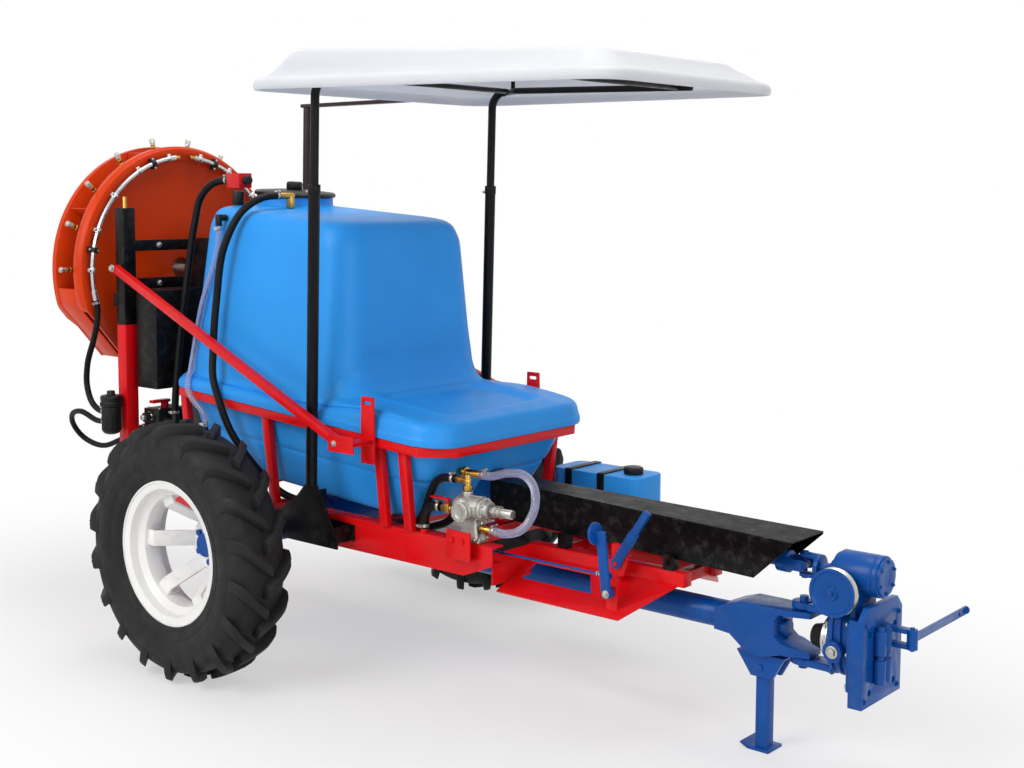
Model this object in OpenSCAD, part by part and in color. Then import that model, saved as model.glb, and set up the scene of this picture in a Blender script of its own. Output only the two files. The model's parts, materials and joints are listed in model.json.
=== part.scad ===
// Wheeled orchard sprayer cart: a ride-on tank trailer with an axial fan, hitched to a two-wheel tractor head.
// Millimetres. +X points forward to the hitch, +Z up, the ground is z = 0. The near side is -Y.
// Sizes below are laid out from the axle; at_origin() then centres the whole cart on X = 0.

/* [Wheels] */
// Outside diameter of the tyre, 7.50-16 traction pattern
tyre_d = 810; // [780:5:830]
// Width of the tyre over the shoulders
tyre_w = 200; // [180:5:210]
// Distance between the two tyre centre planes
track = 1354; // [1340:2:1400]
// Diameter over the rim flanges
rim_d = 452; // [440:2:460]
// Tread bars on each side of the tyre
lug_count = 18; // [14:1:20]
// Bent flat-bar spokes in each wheel
spoke_count = 6; // [5:1:8]

/* [Chassis] */
// Height of the underside of the side rails
rail_z = 400; // [395:5:410]
// Depth of the side rails
rail_h = 100; // [90:5:100]
// Distance between the outer faces of the side rails
rail_span = 650; // [640:2:656]
// Outside diameter of the drawbar tube
drawbar_d = 78; // [70:1:84]
// Height of the drawbar's centre line
drawbar_z = 348; // [344:1:352]

/* [Tank] */
// Nose-down tilt of the tank and the ring that carries it
tank_tilt = 4; // [3:0.5:5]
// Width of the tank's flange
tank_w = 770; // [740:2:776]
// Height of the backrest above the flange
tank_top = 613; // [560:5:625]
// Wall thickness of the moulded tank
tank_wall = 8; // [6:1:12]
// Diameter of the filler opening
filler_d = 250; // [200:5:256]

/* [Canopy] */
// Width at the rear edge
canopy_rear_w = 1076; // [1040:4:1100]
// Width at the front edge
canopy_front_w = 874; // [840:4:920]
// Height of the rear rim's underside
canopy_z = 1820; // [1815:5:1850]
// Thickness of the moulded canopy
canopy_wall = 6; // [4:1:8]

/* [Fan] */
// Diameter over the fan's rims
fan_d = 920; // [900:5:930]
// Height of the fan's shaft
fan_z = 1225; // [1220:1:1230]
// Air outlet width between the rims
outlet_w = 110; // [100:2:116]
// Blades of the impeller
blade_count = 8; // [6:1:12]
// Spray nozzles around the outlet
nozzle_count = 10; // [8:2:12]

/* [Hitch] */
// Diameter of the belt pulley
pulley_d = 126; // [110:2:130]
// Height of the driveline's centre line
driveline_z = 531; // [529:1:533]
// Radius of the two steering pivot pins
pivot_r = 12; // [11:0.5:13]
// Side of the square support leg
leg_w = 36; // [34:1:42]

/* [Hidden] */
$fn = 48;

near = -1;
far = 1;
running_fit = 0.05;
weld_gap = 0.5;

// Colours
red = [0.76, 0.06, 0.09];
blue = [0.03, 0.30, 0.58];
tank_blue = [0.24, 0.64, 0.92];
orange = [0.85, 0.20, 0.04];
black = [0.06, 0.06, 0.07];
white = [0.93, 0.93, 0.92];
silver = [0.68, 0.68, 0.70];
brass = [0.72, 0.52, 0.22];
clear_plastic = [0.78, 0.78, 0.90];

// Wheels and axle
tyre_r = tyre_d / 2;
axle_z = tyre_r;
wheel_y = track / 2;
carcass_r = tyre_r - 27;
rim_r = rim_d / 2;
seat_r = rim_r - 22;
well_r = seat_r - 24;
rim_half = 76;
spindle_r = 25;
axle_tube_r = 40;
lug_pitch = 360 / lug_count;

// Chassis
rail_top = rail_z + rail_h;
rail_outer = rail_span / 2;
rail_flange = 50;
rail_t = 6;
cross_top = rail_top - 14;
shaft_r = 17;
rail_rear_x = -800;
rail_front_x = 950;

// Tank, in its tilted frame: u forward, v across, w up from the flange's middle
tank_pivot_z = 830;
flange_hw = tank_w / 2;
flange_rear = -475;
flange_front = 790;
flange_half = 12;
tub_hw = flange_hw - 37;
hump_top = tank_top;
filler_u = -284;
ring_top = -flange_half - weld_gap;
ring_h = 29;
ring_t = 28;
ring_hw = tub_hw + 4 + ring_t;
ring_rear = -474;
ring_front = 786;
corner_k = 5;
edge_m = 4;
tunnel_w = 132;
tunnel_top = 652;

// Canopy posts
sleeve_x = 286;
sleeve_y = 412;
sleeve_z0 = 610;
sleeve_z1 = 1536;
sleeve_w = 46;
post_w = 38;
post_lean = 1.56;
canopy_rear_x = 132;
canopy_front_x = 1423;
canopy_drop = 23;
rear_post_foot = [-530, 296, rail_top + 1.2];
rear_head_x = rear_post_foot[0] + 1330 * sin(post_lean);

// Fan
fan_r = fan_d / 2;
fan_front_x = -872;
fan_rim = 42;
fan_rear_x = fan_front_x - fan_rim - outlet_w;
inlet_r = 300;
inlet_depth = 62.7;
guard_depth = 72;
fan_cut_z = 900 - fan_z;
fan_cut_y = 270;
fan_side_z = -100;
mast_x = -750;
mast_y = rail_outer + 25;
nozzle_step = 178 / (nozzle_count - 1);

// Hitch
pivot_x = 1765;
fork_front_x = 1800;
leg_x = 1653;
leg_pivot_z = 232;
pulley_x = 1890;
pulley_z = 495;
pedal_x = 1304;
pedal_z = 418;
pedal_y = -250;
pedal_tilt = -7;
brake_rod_y = pedal_y + 12;
brake_rod_z = pedal_z + 46 * cos(pedal_tilt);
lever_x = 1262;
lever_z = 476;
lever_y = -150;

// Front and rear ends of the whole cart, which set where X = 0 lies
cart_front_x = 2064;
cart_rear_x = fan_rear_x - guard_depth;
frame_shift = -(cart_front_x + cart_rear_x) / 2;

// Pump
pump_y = -300;
pump_z = 600;
suction_y = -312;
suction_z = 588;

// Hose ends and routes, in the axle layout
sight_top = [-250, -330, 1427];
sight_foot = [-290, -368, 700];
feed_end = [-545, -300, 728];
bundle_y = -238;
sight_route = [[-250, -330, 1399.7], [-250, -330, 1380], [-332, -347, 1113], [-366, -358, 950],
    [-358, -376, 902], [-351, -393, 870], [-341, -397, 839], [-323, -394, 813], [-294, -373, 767],
    [-290, -368, 744], [-290, -368, 722.3]];
return_route = [[-124, -172.3, 1500], [-124, -200, 1500], [-125, -251, 1492], [-147, -306, 1456],
    [-184, -350, 1358], [-218, -370, 1154], [-222, -384, 985], [-206, -399, 900], [-176, -401, 830],
    [-140, -385, 730], [-101, -344, 638], [-70, -302, 570], [-16, -270, 517], [70, -261, 499.5],
    [548, -261, 499.5], [584, -263, 506], [612, -266, 523], [636, -271, 552], [679, -284, 626],
    [701, -290, 653], [731, -297, 670], [764, -300, 676], [785.7, -300, 676]];
fan_feed_route = [[-374.3, -185, 1553], [-400, -185, 1553], [-450, -192, 1543], [-501, -202, 1500],
    [-527, -215, 1400], [-542, -235, 1240], [-548, -286, 880], [-545, -300, 750], [-545, -300, 728.3]];
manifold_route = [[-858, -405.6, 1123.6], [-858, -400.8, 1104.5], [-859, -401, 1050], [-870, -408, 990],
    [-902, -418, 886], [-906, -418, 808], [-875, -418, 750], [-824, -418, 728], [-796, -418, 728]];
filter_route = [[-796, -418, 690], [-850, -418, 690], [-935, -431, 716], [-995, -425, 698],
    [-1025, -401, 653], [-1014, -370, 606], [-961, -340, 577], [-858, -318, 604], [-791, -301, 647],
    [-740, -300, 662], [-712.3, -300, 662]];
clear_route = [[800.3, -200, 674], [836, -200, 674], [902, -205, 692], [990, -222, 697], [1047, -250, 660],
    [1058, -275, 606], [1034, -293, 562], [985, -300, 542], [926.3, -300, 542]];
suction_route = [[741.7, -312, 588], [716, -312, 588], [690, -312, 574], [676, -312, 548], [672, -312, 530],
    [672, -312, 512.3]];
bundle_route = [[-577.7, -238, 655], [-555, -238, 655], [-487, -238, 622], [-444, -238, 556],
    [-397, -236, 513], [-340, -233, 499], [640, -233, 499], [686, -232, 517], [729, -231, 551],
    [771, -230, 583], [805, -230, 593], [821.7, -230, 593]];

// ---------- helpers ----------

function lerp(a, b, t) = a + (b - a) * t;
function unit(v) = v / norm(v);
function along(a, b, m) = [for (i = [1 : m - 1]) lerp(a, b, i / m)];
function arc(cx, cy, r, a0, k) = [for (i = [0 : k]) [cx + r * cos(a0 + 90 * i / k), cy + r * sin(a0 + 90 * i / k)]];

// Rounded rectangle from x0 to x1, rear and front half widths, rear and front corner radii, counter-clockwise
function plan(x0, x1, hw0, hw1, r0, r1, k = corner_k, m = edge_m) = concat(
    arc(x1 - r1, -hw1 + r1, r1, -90, k),
    along([x1, -hw1 + r1], [x1, hw1 - r1], m),
    arc(x1 - r1, hw1 - r1, r1, 0, k),
    along([x1 - r1, hw1], [x0 + r0, hw0], m),
    arc(x0 + r0, hw0 - r0, r0, 90, k),
    along([x0, hw0 - r0], [x0, -hw0 + r0], m),
    arc(x0 + r0, -hw0 + r0, r0, 180, k),
    along([x0 + r0, -hw0], [x1 - r1, -hw1], m));

// The same number of points on a circle, at the same bearings as an outline's points
function on_circle(outline, c, r) = [for (p = outline) c + r * unit(p - c)];
function lift(outline, z) = [for (p = outline) [p[0], p[1], z]];

// Solid through a list of equal-count rings, with a fan cap at each end
module loft(rings) {
    n = len(rings[0]);
    count = len(rings);
    points = [for (ring = rings) each ring];
    first = [for (j = [0 : n - 1]) rings[0][j]];
    last = [for (j = [0 : n - 1]) rings[count - 1][j]];
    centres = [[for (c = [0 : 2]) sum_of(first, c) / n], [for (c = [0 : 2]) sum_of(last, c) / n]];
    sides = [
        for (i = [0 : count - 2], j = [0 : n - 1])
            let (a = i * n + j, b = i * n + (j + 1) % n, c = b + n, d = a + n)
                each [[a, d, c], [a, c, b]]
    ];
    start_cap = [for (j = [0 : n - 1]) [count * n, j, (j + 1) % n]];
    end_cap = [for (j = [0 : n - 1]) [count * n + 1, (count - 1) * n + (j + 1) % n, (count - 1) * n + j]];
    polyhedron(points = concat(points, centres), faces = concat(sides, start_cap, end_cap), convexity = 10);
}

function sum_of(list, c, i = 0) = i == len(list) ? 0 : list[i][c] + sum_of(list, c, i + 1);

function heading(path, i) = unit(path[min(i + 1, len(path) - 1)] - path[max(i - 1, 0)]);

// Round tube of radius r swept along a path; side is any direction the path never takes
module hose(path, r, side = [0, 1, 0], sides = 8) {
    rings = [
        for (i = [0 : len(path) - 1])
            let (t = heading(path, i), a = unit(cross(side, t)), b = cross(t, a))
                [for (j = [0 : sides - 1]) path[i] + r * (cos(360 * j / sides) * a + sin(360 * j / sides) * b)]
    ];
    loft(rings);
}

module at_origin() {
    translate([frame_shift, 0, 0]) children();
}

module tank_frame() {
    translate([0, 0, tank_pivot_z]) rotate([0, tank_tilt, 0]) children();
}

module block(x0, x1, y0, y1, z0, z1) {
    translate([min(x0, x1), min(y0, y1), min(z0, z1)]) cube([abs(x1 - x0), abs(y1 - y0), abs(z1 - z0)]);
}

module both_sides() {
    children();
    mirror([0, 1, 0]) children();
}

module rod_x(x0, x1, y, z, r) {
    translate([min(x0, x1), y, z]) rotate([0, 90, 0]) cylinder(r = r, h = abs(x1 - x0));
}

module rod_y(x, y0, y1, z, r) {
    translate([x, max(y0, y1), z]) rotate([90, 0, 0]) cylinder(r = r, h = abs(y1 - y0));
}

module rod_z(x, y, z0, z1, r) {
    translate([x, y, min(z0, z1)]) cylinder(r = r, h = abs(z1 - z0));
}

// Rectangular bar from point a to point b, w wide across Y and h deep
module bar(a, b, w, h) {
    d = b - a;
    length = norm(d);
    yaw = atan2(d[1], d[0]);
    pitch = -asin(d[2] / length);
    translate(a) rotate([0, pitch, yaw]) translate([0, -w / 2, -h / 2]) cube([length, w, h]);
}

// Square tube standing on z0, wall t
module square_tube(w, t, z0, z1) {
    translate([0, 0, z0]) linear_extrude(z1 - z0) difference() {
        square(w, center = true);
        square(w - 2 * t, center = true);
    }
}

module hex_bolt_y(x, y, z, r, h) {
    translate([x, y, z]) rotate([90, 0, 0]) cylinder(r = r, h = h, $fn = 6);
}

module hex_bolt_x(x, y, z, r, h) {
    translate([x, y, z]) rotate([0, 90, 0]) cylinder(r = r, h = h, $fn = 6);
}

// ---------- wheels ----------

// Tread bar: four stations from the centre line out over the shoulder, each a section across the bar
function lug_station(y, r0, r1, angle, half_deg) = [
    for (c = [[r0, -1.3], [r0, 1.3], [r1, 1], [r1, -1]])
        [c[0] * cos(angle + c[1] * half_deg), y, c[0] * sin(angle + c[1] * half_deg)]];

module lug(side, angle) {
    shoulder = tyre_w / 2;
    stations = [
        lug_station(-6 * side, carcass_r - 8, tyre_r, angle, 2.0),
        lug_station(45 * side, carcass_r - 8, tyre_r - 2, angle + 6, 2.1),
        lug_station((shoulder - 18) * side, carcass_r - 26, tyre_r - 10, angle + 11.5, 2.3),
        lug_station((shoulder - 1) * side, carcass_r - 52, tyre_r - 34, angle + 14, 2.3)];
    loft(side > 0 ? stations : [for (s = stations) [s[3], s[2], s[1], s[0]]]);
}

module tyre(side) {
    half = tyre_w / 2;
    profile = [
        [seat_r + 0.4, -46], [seat_r + 0.4, -65.6], [rim_r + 0.4, -71.6], [rim_r + 0.4, -77], [rim_r + 22, -88],
        [(rim_r + carcass_r) / 2, -half], [carcass_r - 32, -half + 6], [carcass_r - 10, -half + 26],
        [carcass_r - 2, -40], [carcass_r - 2, 40], [carcass_r - 10, half - 26], [carcass_r - 32, half - 6],
        [(rim_r + carcass_r) / 2, half], [rim_r + 22, 88], [rim_r + 0.4, 77], [rim_r + 0.4, 71.6],
        [seat_r + 0.4, 65.6], [seat_r + 0.4, 46], [rim_r + 6, 62], [(rim_r + carcass_r) / 2, half - 14],
        [carcass_r - 38, half - 20], [carcass_r - 20, 34], [carcass_r - 20, -34], [carcass_r - 38, -half + 20],
        [(rim_r + carcass_r) / 2, -half + 14], [rim_r + 6, -62]];
    at_origin() color(black) translate([0, side * wheel_y, axle_z]) {
        rotate([90, 0, 0]) rotate_extrude($fn = 96) polygon(profile);
        for (i = [0 : lug_count - 1], s = [near, far])
            lug(s, -90 + lug_pitch * (i + (s > 0 ? 0 : 0.5)));
    }
}

// Rolled rim with its drop centre, and the bent flat bars that carry it on the disc
module rim(side) {
    t = 5;
    section = [
        [seat_r - t, -68], [rim_r - t, -72], [rim_r - t, -rim_half], [rim_r, -rim_half], [rim_r, -72], [seat_r, -66],
        [seat_r, -42], [well_r, -30], [well_r, 30], [seat_r, 42], [seat_r, 66], [rim_r, 72], [rim_r, rim_half],
        [rim_r - t, rim_half], [rim_r - t, 72], [seat_r - t, 68], [seat_r - t, 40], [well_r - t, 28],
        [well_r - t, -28], [seat_r - t, -40]];
    bar_t = 7;
    bar_path = [
        [well_r - t / 2, 26], [well_r - t / 2, -16], [well_r - 32, -14], [97, 62], [76, 97.5], [76, 101],
        [102, 62 + bar_t], [well_r - 28, -14 + bar_t], [well_r - t - 1 - bar_t, -9 + bar_t],
        [well_r - t - 1 - bar_t, 26]];
    at_origin() color(white) translate([0, side * wheel_y, axle_z]) scale([1, -side, 1]) {
        rotate([90, 0, 0]) rotate_extrude($fn = 96) polygon(section);
        for (i = [0 : spoke_count - 1])
            rotate([0, 5 + 360 * i / spoke_count, 0])
                translate([0, 0, -25]) linear_extrude(50) polygon(bar_path);
        difference() {
            rod_y(0, 96, 96 + bar_t, 0, 86);
            rod_y(0, 90, 110, 0, 39);
        }
    }
}

// Hub: flange behind the disc, bearing barrel on the spindle, cap through the disc and six wheel bolts
module hub(side) {
    face = wheel_y - 96 - 7;
    at_origin() color(blue) translate([0, 0, axle_z]) scale([1, side, 1]) {
        difference() {
            union() {
                rod_y(0, face - 14, face, 0, 84);
                rod_y(0, face - 34, face - 14, 0, 48);
                rod_y(0, face, face + 34, 0, 38);
            }
            rod_y(0, face - 40, face + 26, 0, spindle_r + running_fit);
        }
        for (i = [0 : 5])
            rotate([0, 60 * i + 30, 0]) translate([58, 0, 0]) rod_y(0, face + 7.3, face + 19, 0, 10);
    }
}

// Driven axle: round casing at the middle with a sloping nose for the drive tube, tubes and spindles
module axle_housing() {
    face = wheel_y - 96 - 7;
    at_origin() color(blue) {
        both_sides() {
            rod_y(0, 60, face - 36, axle_z, axle_tube_r);
            rod_y(0, face - 36, face + 22, axle_z, spindle_r);
            rod_y(0, 88, 104, axle_z, 70);
        }
        rod_y(0, -88, 88, axle_z, 98);
        translate([-60, 0, axle_z - 8]) sphere(r = 80);
        rod_x(60, 128, 0, drawbar_z, 52);
    }
}

// ---------- chassis ----------

// Channel side rail, tapered at the front, notched over the axle tube
module side_rail() {
    difference() {
        translate([0, -rail_outer, 0]) rotate([90, 0, 0]) mirror([0, 0, 1]) linear_extrude(rail_flange)
            polygon([[rail_rear_x, rail_z], [rail_front_x - 110, rail_z], [rail_front_x, rail_z + 45],
                [rail_front_x, rail_top], [rail_rear_x, rail_top]]);
        block(rail_rear_x - 1, rail_front_x + 1, -rail_outer + rail_t, -rail_outer + rail_flange + 1,
            rail_z + 50, rail_top - rail_t);
        block(rail_rear_x - 1, rail_front_x - 130, -rail_outer + rail_t, -rail_outer + rail_flange + 1,
            rail_z + rail_t, rail_z + 60);
        rod_y(0, -rail_outer - 1, -rail_outer + rail_flange + 1, axle_z, axle_tube_r + 0.3);
    }
}

module chassis_rails() {
    inner = rail_outer - rail_t;
    at_origin() color(red) {
        both_sides() side_rail();
        for (x = [-770, -480, 380, 700])
            block(x, x + 50, -inner + 0.3, inner - 0.3, cross_top - 42, cross_top);
        for (x = [387, 707]) difference() {
            union() {
                block(x, x + 36, -27, 27, cross_top + 0.3, driveline_z);
                rod_x(x, x + 36, 0, driveline_z, 28);
            }
            rod_x(x - 1, x + 37, 0, driveline_z, shaft_r + running_fit);
        }
        rod_z(672, suction_y, rail_top + 0.3, rail_top + 12, 12);
        difference() {
            block(806, 896, -rail_outer - 30, -rail_outer - 0.3, rail_z + 56, rail_z + 62);
            rod_z(826, -rail_outer - 15, 400, 500, 5);
            rod_z(876, -rail_outer - 15, 400, 500, 5);
        }
        block(806, 896, -rail_outer - 36, -rail_outer - 30, rail_z + 56, rail_z + 140);
        for (x = [828, 868])
            hex_bolt_y(x, -rail_outer - 36.3, rail_z + 112, 8, 7);
    }
}

// Sloping footplate with a window in it, on an inner rail, with a folded toe edge and a front gusset
module footplate() {
    inner_y = 62;
    outer_y = 256;
    rail_low = 428;
    slope = atan2(rail_low + 8 - 362, outer_y - inner_y - 40);
    block(905, 1452, -inner_y - 38, -inner_y, rail_low, rail_low + 40);
    difference() {
        block(905, 911, -rail_outer + rail_flange + 0.3, -inner_y - 37, 372, rail_low + 36);
        rod_x(904, 912, brake_rod_y, brake_rod_z, 5);
    }
    translate([0, -inner_y - 38.3, rail_low + 4]) rotate([slope, 0, 0]) mirror([0, 1, 0])
        difference() {
            translate([911.3, 0, -5]) linear_extrude(5) polygon([[0, 0], [520, 0], [432, 178], [0, 178]]);
            translate([0, 0, -6]) linear_extrude(7) polygon([[950, 26], [1150, 26], [1206, 104], [950, 104]]);
        }
}

module footplates() {
    at_origin() color(red) {
        both_sides() footplate();
        for (x = [960, 1400])
            block(x, x + 36, -61.7, 61.7, 432, 462);
        block(pedal_x - 18, pedal_x + 18, pedal_y + 16, pedal_y + 22, 358, pedal_z + 16);
        rod_y(pedal_x, pedal_y - 14, pedal_y + 18, pedal_z, 6);
    }
}

module drawbar_tube() {
    at_origin() color(blue) difference() {
        rod_x(128.5, 1570, 0, drawbar_z, drawbar_d / 2);
        rod_x(120, 1580, 0, drawbar_z, drawbar_d / 2 - 6);
    }
}

// Fork at the drawbar's end: two deep cheeks narrowing to upper and lower pivot ears, and the leg's bracket
module drawbar_fork() {
    half = 52;
    upper = drawbar_z + 62;
    lower = drawbar_z - 62;
    at_origin() color(blue) {
        difference() {
            translate([0, half, 0]) rotate([90, 0, 0]) linear_extrude(2 * half)
                polygon([[1520, drawbar_z - 30], [1568, drawbar_z - 34], [1615, lower - 8], [1660, lower - 18],
                    [1726, lower], [fork_front_x, lower], [fork_front_x, lower + 16], [1776, lower + 20],
                    [1722, drawbar_z - 30], [1704, drawbar_z - 14], [1704, drawbar_z + 26], [1716, upper - 16],
                    [fork_front_x, upper - 16], [fork_front_x, upper], [1602, upper], [1560, upper - 14],
                    [1520, drawbar_z + 30]]);
            for (s = [near, far])
                translate([1740, s * 52.1, 200]) linear_extrude(300) polygon([[0, 0], [80, 0], [80, s * -28]]);
            rod_x(1500, 1640, 0, drawbar_z, drawbar_d / 2 + 0.2);
        }
        rod_x(1640, 1704.5, 0, drawbar_z, 30);
        rod_x(1700, 1722, 0, drawbar_z, 24);
        rod_z(pivot_x, 0, upper - 18, upper + 36, pivot_r);
        rod_z(pivot_x, 0, lower - 36, lower + 18, pivot_r);
        difference() {
            translate([0, 30, 0]) rotate([90, 0, 0]) linear_extrude(60)
                polygon([[1580, lower - 17], [1725, lower - 17], [1690, 205], [1625, 205]]);
            block(1500, 1750, -leg_w / 2 - 0.6, leg_w / 2 + 0.6, 190, lower - 24);
        }
        for (s = [near, far])
            rod_y(leg_x, s * (leg_w / 2 - 6), s * 36, leg_pivot_z, 9);
    }
}

// Leg that folds back under the drawbar, on a bent foot plate
module support_leg() {
    at_origin() color(blue) {
        difference() {
            union() {
                block(leg_x - leg_w / 2, leg_x + leg_w / 2, -leg_w / 2, leg_w / 2, 8, 240);
                rod_y(leg_x, -leg_w / 2, leg_w / 2, leg_pivot_z, leg_w / 2);
            }
            rod_y(leg_x, -leg_w / 2 - 1, -leg_w / 2 + 7, leg_pivot_z, 9 + running_fit);
            rod_y(leg_x, leg_w / 2 - 7, leg_w / 2 + 1, leg_pivot_z, 9 + running_fit);
        }
        block(leg_x - 30, leg_x + 34, -38, 38, 0, 8);
        translate([leg_x - 30, 38, 0]) rotate([90, 0, 0]) linear_extrude(76)
            polygon([[0, 0], [0, 8], [-20, 18], [-25, 12]]);
    }
}

// ---------- tank and its ring ----------

// Eight-sided outline drawn in by t: rear corner cuts, where the front cuts start, and half the front edge
module ring_outline(t, cut, cut_x, front_hw) {
    x0 = ring_rear + t;
    x1 = ring_front - t;
    hw = ring_hw - t;
    polygon([[ring_rear + cut, -hw], [cut_x, -hw], [x1, -front_hw], [x1, front_hw], [cut_x, hw],
        [ring_rear + cut, hw], [x0, ring_hw - cut], [x0, -ring_hw + cut]]);
}

module ring_frame() {
    at_origin() color(red) tank_frame() translate([0, 0, ring_top - ring_h]) linear_extrude(ring_h)
        difference() {
            ring_outline(0, 60, 712, 284);
            ring_outline(ring_t, 72, 700, 272);
        }
}

// Square posts from the side rails up to the ring's underside, leaning outwards
module ring_post(x, foot_y, head_y) {
    w = 30;
    depth = 24;
    high = 800;
    translate([x - w / 2, 0, 0]) rotate([90, 0, 90]) linear_extrude(w)
        polygon([[foot_y, rail_top + 0.3], [foot_y + depth, rail_top + 0.3],
            [head_y + depth, high], [head_y + depth, 870], [head_y, 870], [head_y, high]]);
}

module ring_posts() {
    at_origin() color(red) difference() {
        union() {
            for (x = [-402, 18, 528, 630])
                ring_post(x, -rail_outer - 14, -ring_hw + 8);
            for (x = [-402, 18, 528, 640])
                mirror([0, 1, 0]) ring_post(x, -rail_outer, -ring_hw);
        }
        tank_frame() block(-600, 900, -500, 500, ring_top - ring_h - 0.3, 200);
    }
}

// Slotted lifting lug on the ring's side, with the gusset below it
module lift_lugs() {
    lug_y = flange_hw + 6;
    at_origin() color(red) both_sides() {
        difference() {
            translate([0, -lug_y, 0]) rotate([90, 0, 0]) linear_extrude(8)
                polygon([[492, 700], [548, 700], [548, 770], [545, 903], [495, 903], [492, 770]]);
            translate([519, -lug_y + 1, 884]) rotate([90, 0, 0]) linear_extrude(10) {
                square([22, 11], center = true);
                for (s = [-11, 11])
                    translate([s, 0]) circle(r = 5.5);
            }
        }
        block(497, 543, -lug_y + 0.3, -ring_hw - 0.7, 752, 762);
        translate([519, -lug_y - 8.3, 0]) rotate([90, 0, 0]) linear_extrude(70)
            polygon([[-26, 762], [26, 762], [26, 768], [-26, 768]]);
    }
}

// Foot and lower tube for each canopy post, and the one behind the tank
module canopy_sleeves() {
    at_origin() color(black) {
        both_sides() {
            translate([sleeve_x, -sleeve_y, sleeve_z0]) rotate([0, post_lean, 0])
                square_tube(sleeve_w, 3.5, 0, sleeve_z1 - sleeve_z0);
            translate([0, -sleeve_y + 3, 0]) rotate([90, 0, 0]) linear_extrude(6)
                polygon([[150, 520], [262, sleeve_z0 - 1], [312, sleeve_z0 - 1], [402, 446], [402, 420], [150, 420]]);
            translate([0, -rail_outer - 0.3, 0]) rotate([90, 0, 0]) linear_extrude(6)
                polygon([[160, 430], [390, 430], [390, 480], [160, 492]]);
            for (x = [176, 372])
                block(x, x + 6, -sleeve_y + 3.3, -rail_outer - 6.6, 430, 480);
            block(262, 268, -sleeve_y + 3.3, -rail_outer - 6.6, 430, 580);
        }
        translate(rear_post_foot) rotate([0, post_lean, 0]) square_tube(sleeve_w, 3.5, 0, 980);
    }
}

// Tank sections in the tilted frame; grow moves a section outwards and is negative for the inner skin
function tub_section(t, grow) = plan(lerp(-385, -442, t) - grow, lerp(640, 752, t) + grow,
    lerp(tub_hw - 52, tub_hw, t) + grow, lerp(tub_hw - 62, tub_hw - 4, t) + grow, 90, 110);
function flange_section(grow) = plan(flange_rear - grow, flange_front + grow, flange_hw + grow,
    flange_hw + grow, 95, 120);
function hump_section(t, grow) = plan(lerp(-462, -438, t) - grow, lerp(348, 280, t) + grow,
    lerp(348, 304, t) + grow, lerp(346, 302, t) + grow, 120, 105);

// Rings that round off the backrest's top, drawn in far less at the rear, where the neck stands flush
function crown_section(inset, grow) = plan(-438 + inset * 0.35 - grow, 280 - inset + grow, 304 - inset + grow,
    302 - inset + grow, 120, 105);

function pad_section() = plan(flange_rear + 10, flange_front - 26, flange_hw - 26, flange_hw - 26, 95, 120);

// The pad's edge stands higher at the front, where it is a seat, than beside the backrest
function pad_rise(u, at_side, at_seat) = lerp(at_side, at_seat, min(max((u - 240) / 260, 0), 1));
function pad_ring(outline, at_side, at_seat) = [for (p = outline) [p[0], p[1], pad_rise(p[0], at_side, at_seat)]];
function blend(a, b, t) = [for (i = [0 : len(a) - 1]) lerp(a[i], b[i], t)];

function outer_skin() = let (
    edge = flange_section(-8),
    foot = hump_section(0, 0),
    filler = [filler_u, 0],
    neck = on_circle(hump_section(1, 0), filler, filler_d / 2 + 8)) [
    lift(tub_section(0, -22), -272),
    lift(tub_section(0, 0), -252),
    lift(tub_section(0.5, 0), -150),
    lift(tub_section(0.52, -5), -143),
    lift(tub_section(0.58, 0), -134),
    lift(tub_section(1, 0), -flange_half),
    lift(flange_section(0), -flange_half),
    lift(flange_section(0), flange_half),
    pad_ring(edge, 22, 44),
    pad_ring(pad_section(), 30, 62),
    pad_ring(blend(edge, foot, 0.45), 36, 72),
    pad_ring(blend(edge, foot, 0.85), 44, 92),
    pad_ring(hump_section(0.04, 0), 66, 124),
    lift(hump_section(0.5, 0), 310),
    lift(hump_section(0.92, 0), hump_top - 72),
    lift(crown_section(9, 0), hump_top - 34),
    lift(crown_section(34, 0), hump_top - 10),
    lift(blend(crown_section(60, 0), neck, 0.25), hump_top),
    lift(neck, hump_top + 6),
    lift(neck, hump_top + 40),
    lift(on_circle(neck, filler, filler_d / 2), hump_top + 40)];

function inner_skin() = let (
    w = tank_wall,
    edge = flange_section(-8 - w),
    foot = hump_section(0, -w),
    filler = [filler_u, 0],
    bore = on_circle(hump_section(1, 0), filler, filler_d / 2)) [
    lift(bore, hump_top + 6 - w),
    lift(blend(crown_section(60, -w), bore, 0.25), hump_top - w),
    lift(crown_section(34, -w), hump_top - 10 - w),
    lift(hump_section(0.92, -w), hump_top - 72 - w),
    pad_ring(hump_section(0.04, -w), 66 - w, 124 - w),
    pad_ring(blend(edge, foot, 0.85), 44 - w, 92 - w),
    pad_ring(edge, 22 - w, 44 - w),
    lift(tub_section(1, -w), w - flange_half),
    lift(tub_section(0.58, -w), -134),
    lift(tub_section(0, -w), -252 + w),
    lift(tub_section(0, -22 - w), -272 + w)];

// Arched tunnel along the tub's underside, which the propeller shaft runs through
module tunnel(grow) {
    half = tunnel_w / 2 + grow;
    top = tunnel_top + grow;
    translate([-560, 0, 0]) rotate([90, 0, 90]) linear_extrude(1400)
        polygon([[-half, 460], [-half, top - 52], [-half + 16, top - 16], [-half + 44, top], [half - 44, top],
            [half - 16, top - 16], [half, top - 52], [half, 460]]);
}

// Rotomoulded tank: tub, flange, seat pad, backrest and filler neck in one hollow skin, with the tunnel's lining
module tank_shell() {
    at_origin() color(tank_blue) {
        difference() {
            tank_frame() loft(concat(outer_skin(), inner_skin()));
            tunnel(0);
        }
        intersection() {
            tank_frame() loft([for (i = [0 : 5]) outer_skin()[i]]);
            difference() {
                tunnel(tank_wall);
                tunnel(0);
            }
        }
    }
}

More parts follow.
